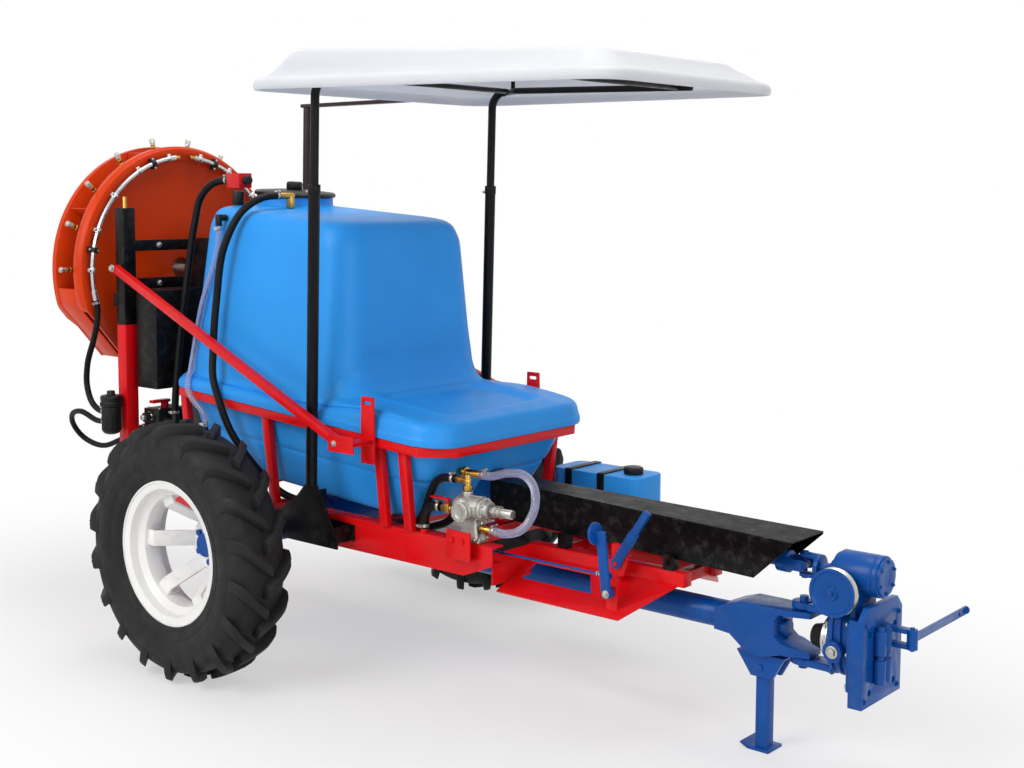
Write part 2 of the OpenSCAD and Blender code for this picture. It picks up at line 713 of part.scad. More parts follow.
// Screw-down lid on the filler neck, hinged at its rear edge
module tank_lid() {
    lid_r = filler_d / 2 + 16;
    at_origin() color(black) tank_frame() translate([filler_u, 0, hump_top + 40.5]) {
        rotate_extrude($fn = 96) polygon([[0, 0], [lid_r, 0], [lid_r, 10], [lid_r - 6, 14], [60, 20], [0, 20]]);
        block(-lid_r - 14, -lid_r + 10, -25, 25, 0, 12);
        rod_y(-lid_r - 7, -25, 25, 0, 5);
        translate([-5, 0, 20.3])
            rotate_extrude() polygon([[0, 0], [26, 0], [28, 4], [28, 22], [24, 27], [0, 28]]);
    }
}
// Ball valve on the tank's rear shoulder, the filler collar's elbow and the two elbows of the sight tube
module tank_fittings() {
    at_origin() {
        color(black) {
            tank_frame() rod_z(-368, -185, 615.2, 662, 20);
            rod_x(-374, -350, -185, 1553, 17);
            rod_x(-284, -262, -185, 1553, 14);
            rod_y(sight_top[0], sight_top[1], -299.3, sight_top[2], 11);
            rod_z(sight_top[0], sight_top[1], sight_top[2] - 27, sight_top[2] + 11, 11);
            rod_y(sight_foot[0], sight_foot[1], -322.1, sight_foot[2], 10);
            rod_z(sight_foot[0], sight_foot[1], sight_foot[2] - 10, sight_foot[2] + 22, 10);
        }
        color(red) block(-350, -284, -213, -157, 1527, 1577);
        color(brass) {
            rod_y(-124, -172, -112, 1500, 11);
            rod_z(-124, -122, 1459.5, 1500, 14);
        }
    }
}

// Small rinse tank lying along the far side, moulded hollow with a filler neck
module rinse_tank() {
    wall = 5;
    at_origin() color(tank_blue) translate([0, 425, 0]) difference() {
        union() {
            translate([0, 0, 440]) linear_extrude(160) polygon(plan(640, 985, 80, 80, 34, 34));
            rod_z(920, -5, 590, 614, 25);
        }
        translate([0, 0, 440 + wall]) linear_extrude(160 - 2 * wall)
            polygon(plan(640 + wall, 985 - wall, 80 - wall, 80 - wall, 30, 30));
        rod_z(920, -5, 580, 620, 20);
    }
}

module rinse_tank_cap() {
    at_origin() color(black) translate([920, 420, 600.5])
        rotate_extrude() polygon([[0, 14], [25.3, 14], [25.3, 0], [31, 0], [31, 20], [27, 24], [0, 24]]);
}

// Shelf on the far side rail and the strap that holds the rinse tank down on it
module rinse_tank_strap() {
    at_origin() color(black) {
        block(650, 940, rail_outer + 0.3, 500, 434, 439.7);
        for (x = [700, 830]) {
            block(x, x + 26, 341, 344.5, 440, 604);
            block(x, x + 26, 341, 509, 600.3, 604);
            block(x, x + 26, 505.5, 509, 440, 604);
        }
    }
}

// ---------- driveline ----------

// Folded cover over the propeller shaft, widening and dropping towards the hitch
module driveline_shield() {
    rear = -430;
    front = 631;
    depth = 116;
    t = 3;
    rear_hw = 52;
    front_hw = 88;
    flare = atan2(front_hw - rear_hw, front - rear);
    at_origin() color(black) {
        translate([1140, 0, 619]) rotate([0, 1.27, 0]) {
            translate([0, 0, -t]) linear_extrude(t)
                polygon([[rear, -rear_hw], [front, -front_hw], [front, front_hw], [rear, rear_hw]]);
            both_sides() translate([rear, -rear_hw, 0]) rotate([90, 0, -flare]) mirror([0, 0, 1])
                linear_extrude(t) polygon([[0, -depth], [front - rear - 110, -depth], [front - rear, -8],
                    [front - rear, 0], [0, 0]]);
        }
        both_sides() for (x = [1010, 1380])
            block(x, x + 30, -97, -63, 468.3, 512);
    }
}

// Propeller shaft with the rear half of the universal joint and its cross
module pto_shaft() {
    at_origin() color(blue) translate([0, 0, driveline_z]) {
        rod_x(-572, 1700, 0, 0, shaft_r);
        rod_x(1690, 1722, 0, 0, 30);
        both_sides() {
            block(1716, pivot_x, 21, 31, -15, 15);
            rod_y(pivot_x, 21, 31, 0, 15);
        }
        rod_y(pivot_x, -36, 36, 0, 9);
        rod_z(pivot_x, 0, -18, 18, 7);
    }
}

// Front half of the universal joint, on the gear case's input shaft
module input_yoke() {
    at_origin() color(blue) translate([0, 0, driveline_z]) {
        for (s = [-1, 1]) {
            block(pivot_x, 1806, -15, 15, s * 21, s * 31);
            rod_z(pivot_x, 0, s * 21, s * 31, 15);
            rod_z(pivot_x, 0, s * 20.5, s * 36, 9);
        }
        rod_x(1802, 1814, 0, 0, 33);
        rod_x(1814, 1880, 0, 0, 14);
    }
}

// ---------- pump ----------

module pump_body() {
    at_origin() color(silver) difference() {
        union() {
            rod_x(806, 905, pump_y, pump_z, 35);
            rod_x(905, 924, pump_y, pump_z, 25);
            rod_x(796, 806, pump_y, pump_z, 28);
            rod_y(850, pump_y - 52, pump_y + 50, pump_z - 7, 25);
            rod_y(850, pump_y - 58, pump_y - 52, pump_z - 7, 31);
            rod_y(850, pump_y + 50, pump_y + 56, pump_z - 7, 31);
            rod_z(835, pump_y, pump_z, pump_z + 46, 16);
            block(812, 888, pump_y - 22, pump_y + 22, 512, pump_z);
            block(804, 900, pump_y - 24, pump_y + 24, rail_top + 0.3, 512);
        }
        rod_x(900, 925, pump_y, pump_z, 11 + running_fit);
    }
}

// Splined stub that drives the pump
module pump_shaft() {
    at_origin() color(silver) translate([0, pump_y, pump_z]) {
        rod_x(902, 940, 0, 0, 11);
        for (i = [0 : 5])
            translate([932, 0, 0]) rotate([60 * i, 0, 0]) block(0, 74, -3, 3, 0, 13);
        rod_x(932, 1006, 0, 0, 10);
    }
}

// Brass fittings between the pump, the tank outlet and the hoses
module pump_fittings() {
    at_origin() color(brass) {
        rod_z(835, pump_y, pump_z + 46.3, pump_z + 94, 9);
        rod_z(835, pump_y, pump_z + 52, pump_z + 62, 14);
        rod_x(786, 835, pump_y, pump_z + 76, 8);
        rod_x(742, 795.7, suction_y, suction_z, 9);
        block(756, 780, suction_y - 12, suction_y + 12, suction_z - 12, suction_z + 14);
        rod_x(714.3, 800, -200, 674, 11);
        rod_x(730, 744, -200, 674, 16);
        rod_y(850, pump_y + 56.3, bundle_y + 12, pump_z - 7, 9);
        rod_x(822, 850, bundle_y + 8, pump_z - 7, 8);
        rod_x(888.3, 926, pump_y, 542, 10);
        rod_x(892, 904, pump_y, 542, 13);
    }
}

// Quarter-turn handle of the pump's suction valve
module pump_valve_handle() {
    at_origin() color(red) {
        rod_z(768, suction_y, suction_z + 14.4, suction_z + 24, 8);
        block(704, 776, suction_y - 8, suction_y + 8, suction_z + 24, suction_z + 29);
    }
}

// ---------- fan ----------

// Lower half of the fan is cut back to sloping flats; this prism keeps what lies inside them
module fan_trim(x0, x1, inset = 0) {
    wide = fan_r + 20;
    translate([x0, 0, fan_z]) rotate([90, 0, 90]) linear_extrude(x1 - x0)
        polygon([[-wide + inset, 500], [-wide + inset, fan_side_z + 20], [-fan_cut_y + inset * 0.7, fan_cut_z + inset],
            [fan_cut_y - inset * 0.7, fan_cut_z + inset], [wide - inset, fan_side_z + 20], [wide - inset, 500]]);
}

// Local frame on the fan's axis: x outwards from the near side, y upwards, z rearwards
module fan_polar() {
    translate([0, 0, fan_z]) rotate([90, 0, -90]) children();
}

// Dished front disc with its rolled rim
module fan_front_disc() {
    at_origin() color(orange) intersection() {
        translate([fan_front_x, 0, fan_z]) rotate([0, 90, 0]) rotate_extrude($fn = 120)
            polygon([[40, -18], [200, -26], [330, -30], [392, -24], [418, -8], [434, -2], [450, -4], [fan_r, -18],
                [fan_r, -fan_rim], [fan_r - 10, -fan_rim], [fan_r - 12, -24], [448, -14], [434, -10], [418, -18],
                [392, -34], [330, -38], [200, -34], [40, -26]]);
        fan_trim(fan_front_x - fan_rim - 1, fan_front_x + 1);
    }
}

// Rear ring with the air inlet's bell mouth
module fan_rear_ring() {
    at_origin() color(orange) intersection() {
        translate([fan_rear_x, 0, fan_z]) rotate([0, 90, 0]) rotate_extrude($fn = 120)
            polygon([[inlet_r + 18, 0], [fan_r, 0], [fan_r, -24], [450, -36], [434, -38], [424, -10], [340, -10],
                [inlet_r + 10, -24], [inlet_r + 8, -inlet_depth], [inlet_r, -inlet_depth], [inlet_r + 2, -20]]);
        fan_trim(fan_rear_x - inlet_depth - 1, fan_rear_x + 1);
    }
}

// Closed lower wall of the outlet, and the bridges that space the two rims
module fan_bridges() {
    x0 = fan_rear_x + 0.3;
    x1 = fan_front_x - fan_rim - 0.3;
    at_origin() color(orange) {
        difference() {
            intersection() {
                rod_x(x0, x1, 0, fan_z, fan_r - 2);
                fan_trim(x0, x1, 1);
            }
            intersection() {
                rod_x(x0 - 1, x1 + 1, 0, fan_z, fan_r - 7);
                fan_trim(x0 - 1, x1 + 1, 6);
            }
            block(x0 - 1, x1 + 1, -600, 600, fan_z - 62, fan_z + 600);
        }
        fan_polar() for (a = [30, 72, 108, 150])
            rotate([0, 0, a]) translate([345, -2, -x1]) cube([fan_r - 349, 4, x1 - x0]);
    }
}

// Wire guard over the air inlet
module fan_guard() {
    at_origin() color(black) translate([fan_rear_x, 0, fan_z]) rotate([0, 90, 0]) {
        for (r = [60, 110, 160, 210, 260, inlet_r])
            translate([0, 0, -guard_depth]) rotate_extrude($fn = 96) translate([r, 0]) square([5, 5]);
        for (i = [0 : 5])
            rotate([0, 0, 60 * i]) translate([62, -2.5, -guard_depth + 4]) cube([inlet_r - 60, 5, 5]);
    }
}

// Impeller: hub, pitched blades and the shaft into the drive case
module fan_impeller() {
    mid = (fan_rear_x + fan_front_x - fan_rim) / 2;
    at_origin() color(silver) {
        rod_x(mid - 40, mid + 40, 0, fan_z, 62);
        rod_x(mid + 20, -674, 0, fan_z, 15);
        translate([mid, 0, fan_z]) for (i = [0 : blade_count - 1])
            rotate([360 * i / blade_count, 0, 0]) rotate([0, 0, 38])
                translate([-2, -42, 55]) cube([4, 84, inlet_r - 68]);
    }
}

// Stainless spray pipes on the front rim, with their clamps and end caps
module spray_manifolds() {
    pipe_r = 418;
    z = -fan_front_x - 14;
    at_origin() color(silver) both_sides() fan_polar() {
        rotate([0, 0, -14]) rotate_extrude(angle = 98) translate([pipe_r, z]) circle(r = 10);
        for (i = [0 : nozzle_count / 2 - 1])
            rotate([0, 0, 1 + nozzle_step * i]) translate([pipe_r - 14, -9, z - 13]) cube([28, 18, 29.4]);
    }
}

// Brass nozzle bodies in the air outlet, aimed outwards
module spray_nozzles() {
    mount = -fan_front_x + 16.9;
    at_origin() color(brass) fan_polar() for (i = [0 : nozzle_count - 1])
        rotate([0, 0, 1 + nozzle_step * i]) {
            translate([428, 0, mount]) cylinder(r = 7, h = 57);
            translate([420, 0, mount + 57]) rotate([0, 90, 0]) cylinder(r = 8, h = 58);
            translate([478, 0, mount + 57]) rotate([0, 90, 0]) cylinder(r = 11, h = 18, $fn = 6);
        }
}

// Masts, cross bars and stand-offs that hold the fan behind the tank
module fan_mast_frame() {
    split_z = 1040;
    top_z = 1456;
    at_origin() {
        color(red) both_sides() translate([mast_x, -mast_y, 0]) square_tube(50, 4, rail_z, split_z);
        color(black) {
            both_sides() {
                translate([mast_x, -mast_y, 0]) square_tube(50, 4, split_z + 0.3, top_z);
                rod_z(mast_x, -mast_y, top_z - 20, top_z + 40, 7);
                block(mast_x - 22, mast_x + 22, -mast_y - 22, -mast_y + 22, top_z - 26, top_z - 20);
                block(mast_x - 50, mast_x - 25.3, -mast_y - 21, -mast_y + 21, 1105, 1150);
            }
            for (z = [1165, 1302])
                block(mast_x - 20, mast_x + 20, -mast_y + 25.3, mast_y - 25.3, z, z + 38);
            for (s = [near, far], z = [1184, 1321])
                rod_x(fan_front_x - 26.2, mast_x - 20.3, s * 220, z, 12);
        }
    }
}

// Diagonal stays from the masts down to the lifting lugs
module mast_struts() {
    at_origin() color(red) both_sides() {
        bar([mast_x, -395, 1243], [478, -465.5, 762], 24, 26);
        rod_y(mast_x, -382.7, -mast_y - 25.3, 1243, 12);
        difference() {
            block(440, 546, -484, -478, 742, 792);
            rod_y(466, -490, -470, 766, 6);
        }
        block(493, 546, -478, -399.3, 770, 776);
    }
}

// Outline of the chain case seen along the cart, drawn in by t for its inside
function case_outline(t) = [[-90 + t, 502], [100 - t, 502], [112 - t, 540], [132 - t, 1200], [110 - t, 1345 - t],
    [-90 + t, 1345 - t], [-112 + t, 1200], [-105 + t, 540]];

// Chain case that lifts the drive to the fan's shaft, its base plate and the locker beside it, all folded sheet
module fan_drive_case() {
    t = 4;
    at_origin() color(black) {
        difference() {
            union() {
                difference() {
                    translate([-700, 0, 0]) rotate([90, 0, 90]) linear_extrude(140) polygon(case_outline(0));
                    translate([-700 + t, 0, -1]) rotate([90, 0, 90]) linear_extrude(140 - 2 * t)
                        polygon(case_outline(t));
                }
                rod_x(-700, -666, 0, fan_z, 34);
                rod_x(-590, -560, 0, driveline_z, 28.9);
            }
            rod_x(-705, -670, 0, fan_z, 15 + running_fit);
            rod_x(-576, -555, 0, driveline_z, shaft_r + running_fit);
        }
        block(-770, -430, -130, 150, 494.3, 501.7);
        rod_x(-720, -700.3, 0, fan_z + 62, 26);
        difference() {
            block(-690, -575, -352, -118, 820, 1168);
            block(-690 + t, -575 - t, -352 + t, -118 - t, 810, 1168 - t);
        }
        block(-690, -575, -117.7, -112, 900, 1100);
    }
}

// ---------- spray controls ----------

module suction_filter() {
    at_origin() color(black) {
        rod_z(-760, -418, 650, 750, 34);
        rod_z(-760, -418, 750, 790, 38);
        rod_x(-795.7, -790, -418, 728, 12);
        rod_x(-795.7, -790, -418, 690, 11);
        rod_z(-760, -418, 790, 806, 14);
        block(-772, -748, -382, -375.3, 755, 785);
    }
}

// Control block on a stand, with its ports
module control_valves() {
    at_origin() color(black) {
        block(-686, -600, -330, -214, 640, 742);
        block(-660, -630, -318, -282, rail_top + 0.3, 640);
        for (z = [665, 715])
            rod_y(-643, -362, -330, z, 17);
        rod_x(-600.3, -535, feed_end[1], feed_end[2] - 28, 12);
        rod_z(feed_end[0], feed_end[1], feed_end[2] - 40, feed_end[2], 12);
        rod_x(-712, -686, -300, 662, 10);
        rod_x(-600, -578, bundle_y, 655, 12);
    }
}

module control_valve_handle() {
    at_origin() color(red) {
        rod_z(-643, -272, 742.4, 762, 14);
        block(-655, -631, -330, -255, 762, 772);
    }
}

// ---------- canopy ----------

// Rim outline of the canopy, moved inwards by inset, and the fall of its plane towards the front
function canopy_plan(inset) = plan(canopy_rear_x + inset, canopy_front_x - inset, canopy_rear_w / 2 - inset,
    canopy_front_w / 2 - inset, 84 - inset * 0.2, 92 - inset * 0.2, corner_k, 5);
function canopy_ring(inset, rear_h, front_h) = [for (p = canopy_plan(inset))
    let (t = (p[0] - canopy_rear_x) / (canopy_front_x - canopy_rear_x))
        [p[0], p[1], canopy_z - canopy_drop * t + lerp(rear_h, front_h, t)]];

// Moulded sun canopy, open below: rim band, narrow ledge and a raised panel that thins towards the front
module canopy_shell() {
    w = canopy_wall;
    at_origin() color(white) loft([
        canopy_ring(230, 138 - w, 92 - w), canopy_ring(112 + w, 132 - w, 86 - w),
        canopy_ring(84 + w, 116 - w, 72 - w), canopy_ring(30 + w, 44 - w, 42 - w),
        canopy_ring(10 + w, 36 - w, 34 - w), canopy_ring(w, 0, 0),
        canopy_ring(0, 0, 0), canopy_ring(-2, 12, 12), canopy_ring(4, 32, 30), canopy_ring(10, 36, 34),
        canopy_ring(30, 44, 42), canopy_ring(84, 116, 72), canopy_ring(94, 127, 82), canopy_ring(112, 132, 86),
        canopy_ring(230, 138, 92)]);
}

// Inner posts that slide in the sleeves, with the rails they bend into under the canopy
module canopy_posts() {
    post_low = 640;
    post_high = 1240;
    lean_x = sin(post_lean);
    head_x = sleeve_x + post_high * lean_x;
    head_z = sleeve_z0 + post_high * cos(post_lean);
    rail_y = sleeve_y - 60;
    rail_fall = 29 / (1240 - head_x);
    function rail_z_at(x) = head_z - 13 - rail_fall * (x - head_x + 60);
    at_origin() color(black) {
        both_sides() {
            translate([sleeve_x, -sleeve_y, sleeve_z0]) rotate([0, post_lean, 0])
                square_tube(post_w, 3, post_low, post_high);
            block(head_x - 24, head_x + 24, -sleeve_y - 19, -rail_y + 10, head_z - 6, head_z + 6);
            bar([head_x - 60, -rail_y, head_z - 13], [1180, -rail_y + 26, head_z - 42], 26, 26);
        }
        for (x = [420, 1120])
            block(x, x + 26, -rail_y + 16, rail_y - 16, rail_z_at(x) - 8, rail_z_at(x) + 8);
        translate(rear_post_foot) rotate([0, post_lean, 0]) square_tube(post_w, 3, 740, 1330);
        block(rear_head_x - 22, canopy_rear_x - 2.5, rear_post_foot[1] - 21, rear_post_foot[1] + 21, 1828, 1844);
        for (x = [430, 1110])
            both_sides() block(x, x + 18, -rail_y + 8, -rail_y + 26, rail_z_at(x), x < 800 ? 1932.2 : 1885.6);
    }
}

// ---------- driver's controls ----------

// Foot brake: flat arm with a round pad, and the pin that draws the rod
module brake_pedal() {
    at_origin() color(blue) translate([pedal_x, 0, pedal_z]) rotate([0, pedal_tilt, 0]) {
        difference() {
            union() {
                rod_y(0, pedal_y - 12, pedal_y + 12, 0, 14);
                block(-15, 15, pedal_y - 12, pedal_y - 4, 0, 172);
            }
            rod_y(0, pedal_y - 14, pedal_y + 14, 0, 6 + running_fit);
        }
        rod_x(-23, -15, pedal_y - 8, 166, 31);
        rod_y(0, pedal_y - 4, pedal_y + 18, 46, 4);
    }
}

module brake_rod() {
    eye_x = pedal_x + 46 * sin(pedal_tilt);
    at_origin() color(blue) {
        difference() {
            rod_y(eye_x, brake_rod_y - 3, brake_rod_y + 3, brake_rod_z, 10);
            block(eye_x - 4.5, eye_x + 4.5, brake_rod_y - 4, brake_rod_y + 4, brake_rod_z - 6.5, brake_rod_z + 6.5);
        }
        rod_x(860, eye_x - 8, brake_rod_y, brake_rod_z, 3.5);
    }
}

// Parking brake lever: flat bar with a grip, and the pawl tooth that rides on the quadrant
module hand_lever() {
    at_origin() color(blue) translate([lever_x, 0, lever_z]) rotate([0, 33, 0]) {
        difference() {
            union() {
                block(-14, 14, lever_y - 8, lever_y, 0, 118);
                rod_y(0, lever_y - 8, lever_y, 0, 16);
            }
            rod_y(0, lever_y - 10, lever_y + 2, 0, 6 + running_fit);
        }
        block(-10, 10, lever_y - 13, lever_y + 5, 118, 190);
        block(-6, 6, lever_y, lever_y + 3, 66, 78);
    }
}

// Toothed quadrant beside the lever, on a stand from the inner rail
module hand_lever_quadrant() {
    gap = 0.6;
    at_origin() color(red) translate([lever_x, 0, lever_z]) {
        translate([0, lever_y + gap + 6, 0]) rotate([90, 0, 0]) linear_extrude(6)
            polygon(concat([[-20, -36], [20, -36]], [for (i = [0 : 14]) let (a = 40 + i * 5, r = i % 2 == 0 ? 58 : 52)
                [r * cos(a), r * sin(a)]]));
        rod_y(0, lever_y - 12, lever_y + gap, 0, 6);
        block(-20, 20, lever_y + gap + 6, -100.3, -36, -30);
    }
}

// ---------- hitch head ----------

// Gear case with its bevel housing on top, round inlet, flange and the two steering arms
module hitch_gearcase() {
    upper = drawbar_z + 62;
    lower = drawbar_z - 62;
    arm_t = 20;
    pulley_seat = -60;
    at_origin() color(blue) {
        difference() {
            union() {
                rod_x(1862, 1990, 0, 535, 55);
                rod_x(1990, 1997, 0, 535, 50);
                rod_x(1846, 1862, 0, driveline_z, 30);
                block(1868, 1950, -42, 42, 430, 500);
                block(1862, 1925, -60, 60, 262, 450);
                rod_x(1840, 1862, 0, drawbar_z + 4, 56);
                rod_y(1885, -76, -60, 335, 28);
                rod_y(1885, 60, 76, 335, 28);
                block(1925, 1940, -75, 75, 236, 428);
                block(1925, 1940, -60, 60, 428, 470);
                rod_y(pulley_x, -66, -30, pulley_z, 20);
                for (z = [upper + 3, lower - 3 - arm_t]) {
                    rod_z(pivot_x, 0, z, z + arm_t, 33);
                    block(pivot_x, 1870, -33, 33, z, z + arm_t);
                }
            }
            for (z = [upper + 2, lower - 4 - arm_t])
                rod_z(pivot_x, 0, z, z + arm_t + 2, pivot_r + running_fit);
            rod_x(1845, 1884, 0, driveline_z, 14 + running_fit);
            rod_y(pulley_x, -67, -30, pulley_z, 10 + running_fit);
        }
        hex_bolt_y(1885, -76.3, 335, 13, 9);
    }
}

// Rubber bellows over the drive joint between the drawbar and the gear case
module hitch_boot() {
    at_origin() color(black) translate([1796, 0, drawbar_z]) rotate([0, 90, 0])
        rotate_extrude() polygon([[10, 0], [24, 0], [27, 6], [25, 9], [31, 14], [28, 18], [35, 24], [32, 28],
            [38, 34], [38, 43.5], [10, 43.5]]);
}

// Front hitch plate on four studs, with its side flanges and lever lug
module hitch_plate() {
    at_origin() color(blue) {
        difference() {
            translate([1972, 0, 0]) rotate([90, 0, 90]) linear_extrude(16)
                polygon([[-112, 214], [112, 214], [112, 440], [84, 470], [-84, 470], [-112, 440]]);
            for (y = [-70, 70], z = [250, 400])
                rod_x(1970, 1990, y, z, 9);
        }
        for (y = [-62, 62], z = [262, 410]) {
            rod_x(1940.3, 1972, y, z, 8);
            hex_bolt_x(1942, y, z, 14, 10);
        }
        for (s = [near, far])
            block(1950, 1972, s * 112, s * 103, 214, 440);
        for (y = [-42, -10], z = [270, 345]) {
            rod_z(2002, y, z, z + 62, 15);
            rod_z(2002, y, z + 62, z + 72, 10);
        }
        difference() {
            union() {
                block(1988, 2040, 28, 52, 350, 362);
                block(1988, 2040, 28, 52, 390, 402);
                rod_z(2050, 40, 350, 362, 14);
                rod_z(2050, 40, 390, 402, 14);
            }
            rod_z(2050, 40, 345, 405, 6 + running_fit);
        }
    }
}

// Grooved belt pulley on the bevel gear's cross shaft
module belt_pulley() {
    r = pulley_d / 2;
    at_origin() color(blue) translate([pulley_x, 0, pulley_z]) {
        translate([0, -68, 0]) rotate([90, 0, 0]) rotate_extrude($fn = 96)
            polygon([[0, 0], [r, 0], [r, 5], [r - 12, 11], [r - 12, 17], [r, 23], [r, 28], [r - 8, 28],
                [r - 10, 24], [18, 24], [16, 30], [0, 30]]);
        rod_y(0, -68, -38, 0, 10);
        hex_bolt_y(0, -98, 0, 8, 6);
    }
}

// Flat lever on the hitch plate, with two holes at its outer end
module hitch_arm() {
    at_origin() color(blue) {
        difference() {
            union() {
                rod_z(2050, 40, 362.4, 389.6, 14);
                block(2047, 2053, 50, 384, 366, 388);
                rod_y(2050, 384 - 6, 384, 377, 11);
            }
            rod_z(2050, 40, 360, 392, 6.05);
            for (y = [330, 362])
                rod_x(2040, 2060, y, 377, 6);
        }
        rod_z(2050, 40, 345, 407, 6);
    }
}

// ---------- hoses ----------

module sight_tube() {
    at_origin() color(clear_plastic) hose(sight_route, 9, [0, 1, 0.2]);
}

module return_hose() {
    at_origin() color(black) hose(return_route, 12.5, [1, 0.2, 0]);
}

module fan_feed_hose() {
    at_origin() color(black) hose(fan_feed_route, 13, [0.2, 1, 0]);
}

module manifold_hose() {
    at_origin() color(black) hose(manifold_route, 11, [0, 1, 0]);
}

module filter_hose() {
    at_origin() color(black) hose(filter_route, 10, [0, 1, 0]);
}

module pump_clear_hose() {
    at_origin() color(clear_plastic) hose(clear_route, 12.5, [0, 1, 0]);
}

// Suction hose at the pump and the delivery hose laid along the near side rail
module chassis_hoses() {
    at_origin() color(black) {
        hose(suction_route, 14, [0, 1, 0]);
        hose(bundle_route, 12, [0, 1, 0]);
    }
}

tyre(near);  // near_tyre
tyre(far);  // far_tyre
rim(near);  // near_rim
rim(far);  // far_rim
hub(near);  // near_hub
hub(far);  // far_hub
axle_housing();
chassis_rails();
footplates();
drawbar_tube();
drawbar_fork();
ring_frame();
ring_posts();
lift_lugs();
canopy_sleeves();
tank_shell();
tank_lid();
tank_fittings();
rinse_tank();
rinse_tank_cap();
rinse_tank_strap();
driveline_shield();
pto_shaft();
input_yoke();
pump_body();
pump_fittings();
pump_shaft();
pump_valve_handle();
fan_mast_frame();
mast_struts();
fan_drive_case();
fan_front_disc();
fan_rear_ring();
fan_bridges();
fan_guard();
fan_impeller();
spray_manifolds();
spray_nozzles();
suction_filter();
control_valves();
control_valve_handle();
canopy_shell();
canopy_posts();
brake_pedal();
brake_rod();
hand_lever();
hand_lever_quadrant();
hitch_gearcase();
hitch_boot();
hitch_plate();
belt_pulley();
hitch_arm();
support_leg();
sight_tube();
return_hose();
fan_feed_hose();
manifold_hose();
filter_hose();
pump_clear_hose();
chassis_hoses();
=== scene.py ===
import json
import math
import bmesh
import bpy
from mathutils import Matrix, Vector


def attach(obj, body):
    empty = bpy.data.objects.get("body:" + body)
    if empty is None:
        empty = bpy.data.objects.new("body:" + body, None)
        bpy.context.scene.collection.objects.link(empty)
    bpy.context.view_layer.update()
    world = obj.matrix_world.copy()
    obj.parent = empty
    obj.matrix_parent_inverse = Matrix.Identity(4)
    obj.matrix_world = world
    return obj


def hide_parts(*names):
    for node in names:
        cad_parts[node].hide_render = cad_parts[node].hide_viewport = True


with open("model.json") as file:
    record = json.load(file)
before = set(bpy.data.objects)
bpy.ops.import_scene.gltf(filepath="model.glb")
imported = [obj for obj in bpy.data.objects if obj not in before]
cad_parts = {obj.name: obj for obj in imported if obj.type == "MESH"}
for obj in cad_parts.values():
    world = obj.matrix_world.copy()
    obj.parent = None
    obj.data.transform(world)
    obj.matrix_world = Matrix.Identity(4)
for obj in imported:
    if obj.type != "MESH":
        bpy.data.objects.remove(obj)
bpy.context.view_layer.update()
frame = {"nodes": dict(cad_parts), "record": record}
NODES = frame["nodes"]
BODY_OF = {n: b for b, ns in frame["record"]["behaviour"]["bodies"].items() for n in ns}
SHIFT = -484.0               # the axle's place along the row frame, in mm
FAN_Z = 1225
X, Y, Z = Vector((1, 0, 0)), Vector((0, 1, 0)), Vector((0, 0, 1))


def P(x, y, z):
    """A point given in the axle layout, in mm, as a point in the row frame, in metres."""
    return ((x + SHIFT) / 1000, y / 1000, z / 1000)


def mm(pairs):
    return [(a / 1000, b / 1000) for a, b in pairs]


def lerp(a, b, t):
    return a + (b - a) * t


def hermite(p0, m0, p1, m1, t):
    return (p0 * (2 * t ** 3 - 3 * t ** 2 + 1) + m0 * (t ** 3 - 2 * t ** 2 + t) + p1 * (-2 * t ** 3 + 3 * t ** 2)
            + m1 * (t ** 3 - t ** 2))


def spin(at, angle, axis):
    return Matrix.Translation(at) @ Matrix.Rotation(angle, 4, axis)


# ---------------------------------------------------------------- materials

def lin(c):
    c = c / 255
    return c / 12.92 if c <= 0.04045 else ((c + 0.055) / 1.055) ** 2.4


def srgb(r, g, b):
    return (lin(r), lin(g), lin(b), 1.0)


def shade(c, k):
    return (min(c[0] * k, 1), min(c[1] * k, 1), min(c[2] * k, 1), 1.0)


def node(nt, kind, inputs=(), **settings):
    """A shader node with its settings; each input gets its value, or a link where the value is a socket."""
    n = nt.nodes.new("ShaderNode" + kind)
    for key, value in settings.items():
        setattr(n, key, value)
    for key, value in dict(inputs).items():
        if isinstance(value, bpy.types.NodeSocket):
            nt.links.new(value, n.inputs[key])
        else:
            n.inputs[key].default_value = value
    return n


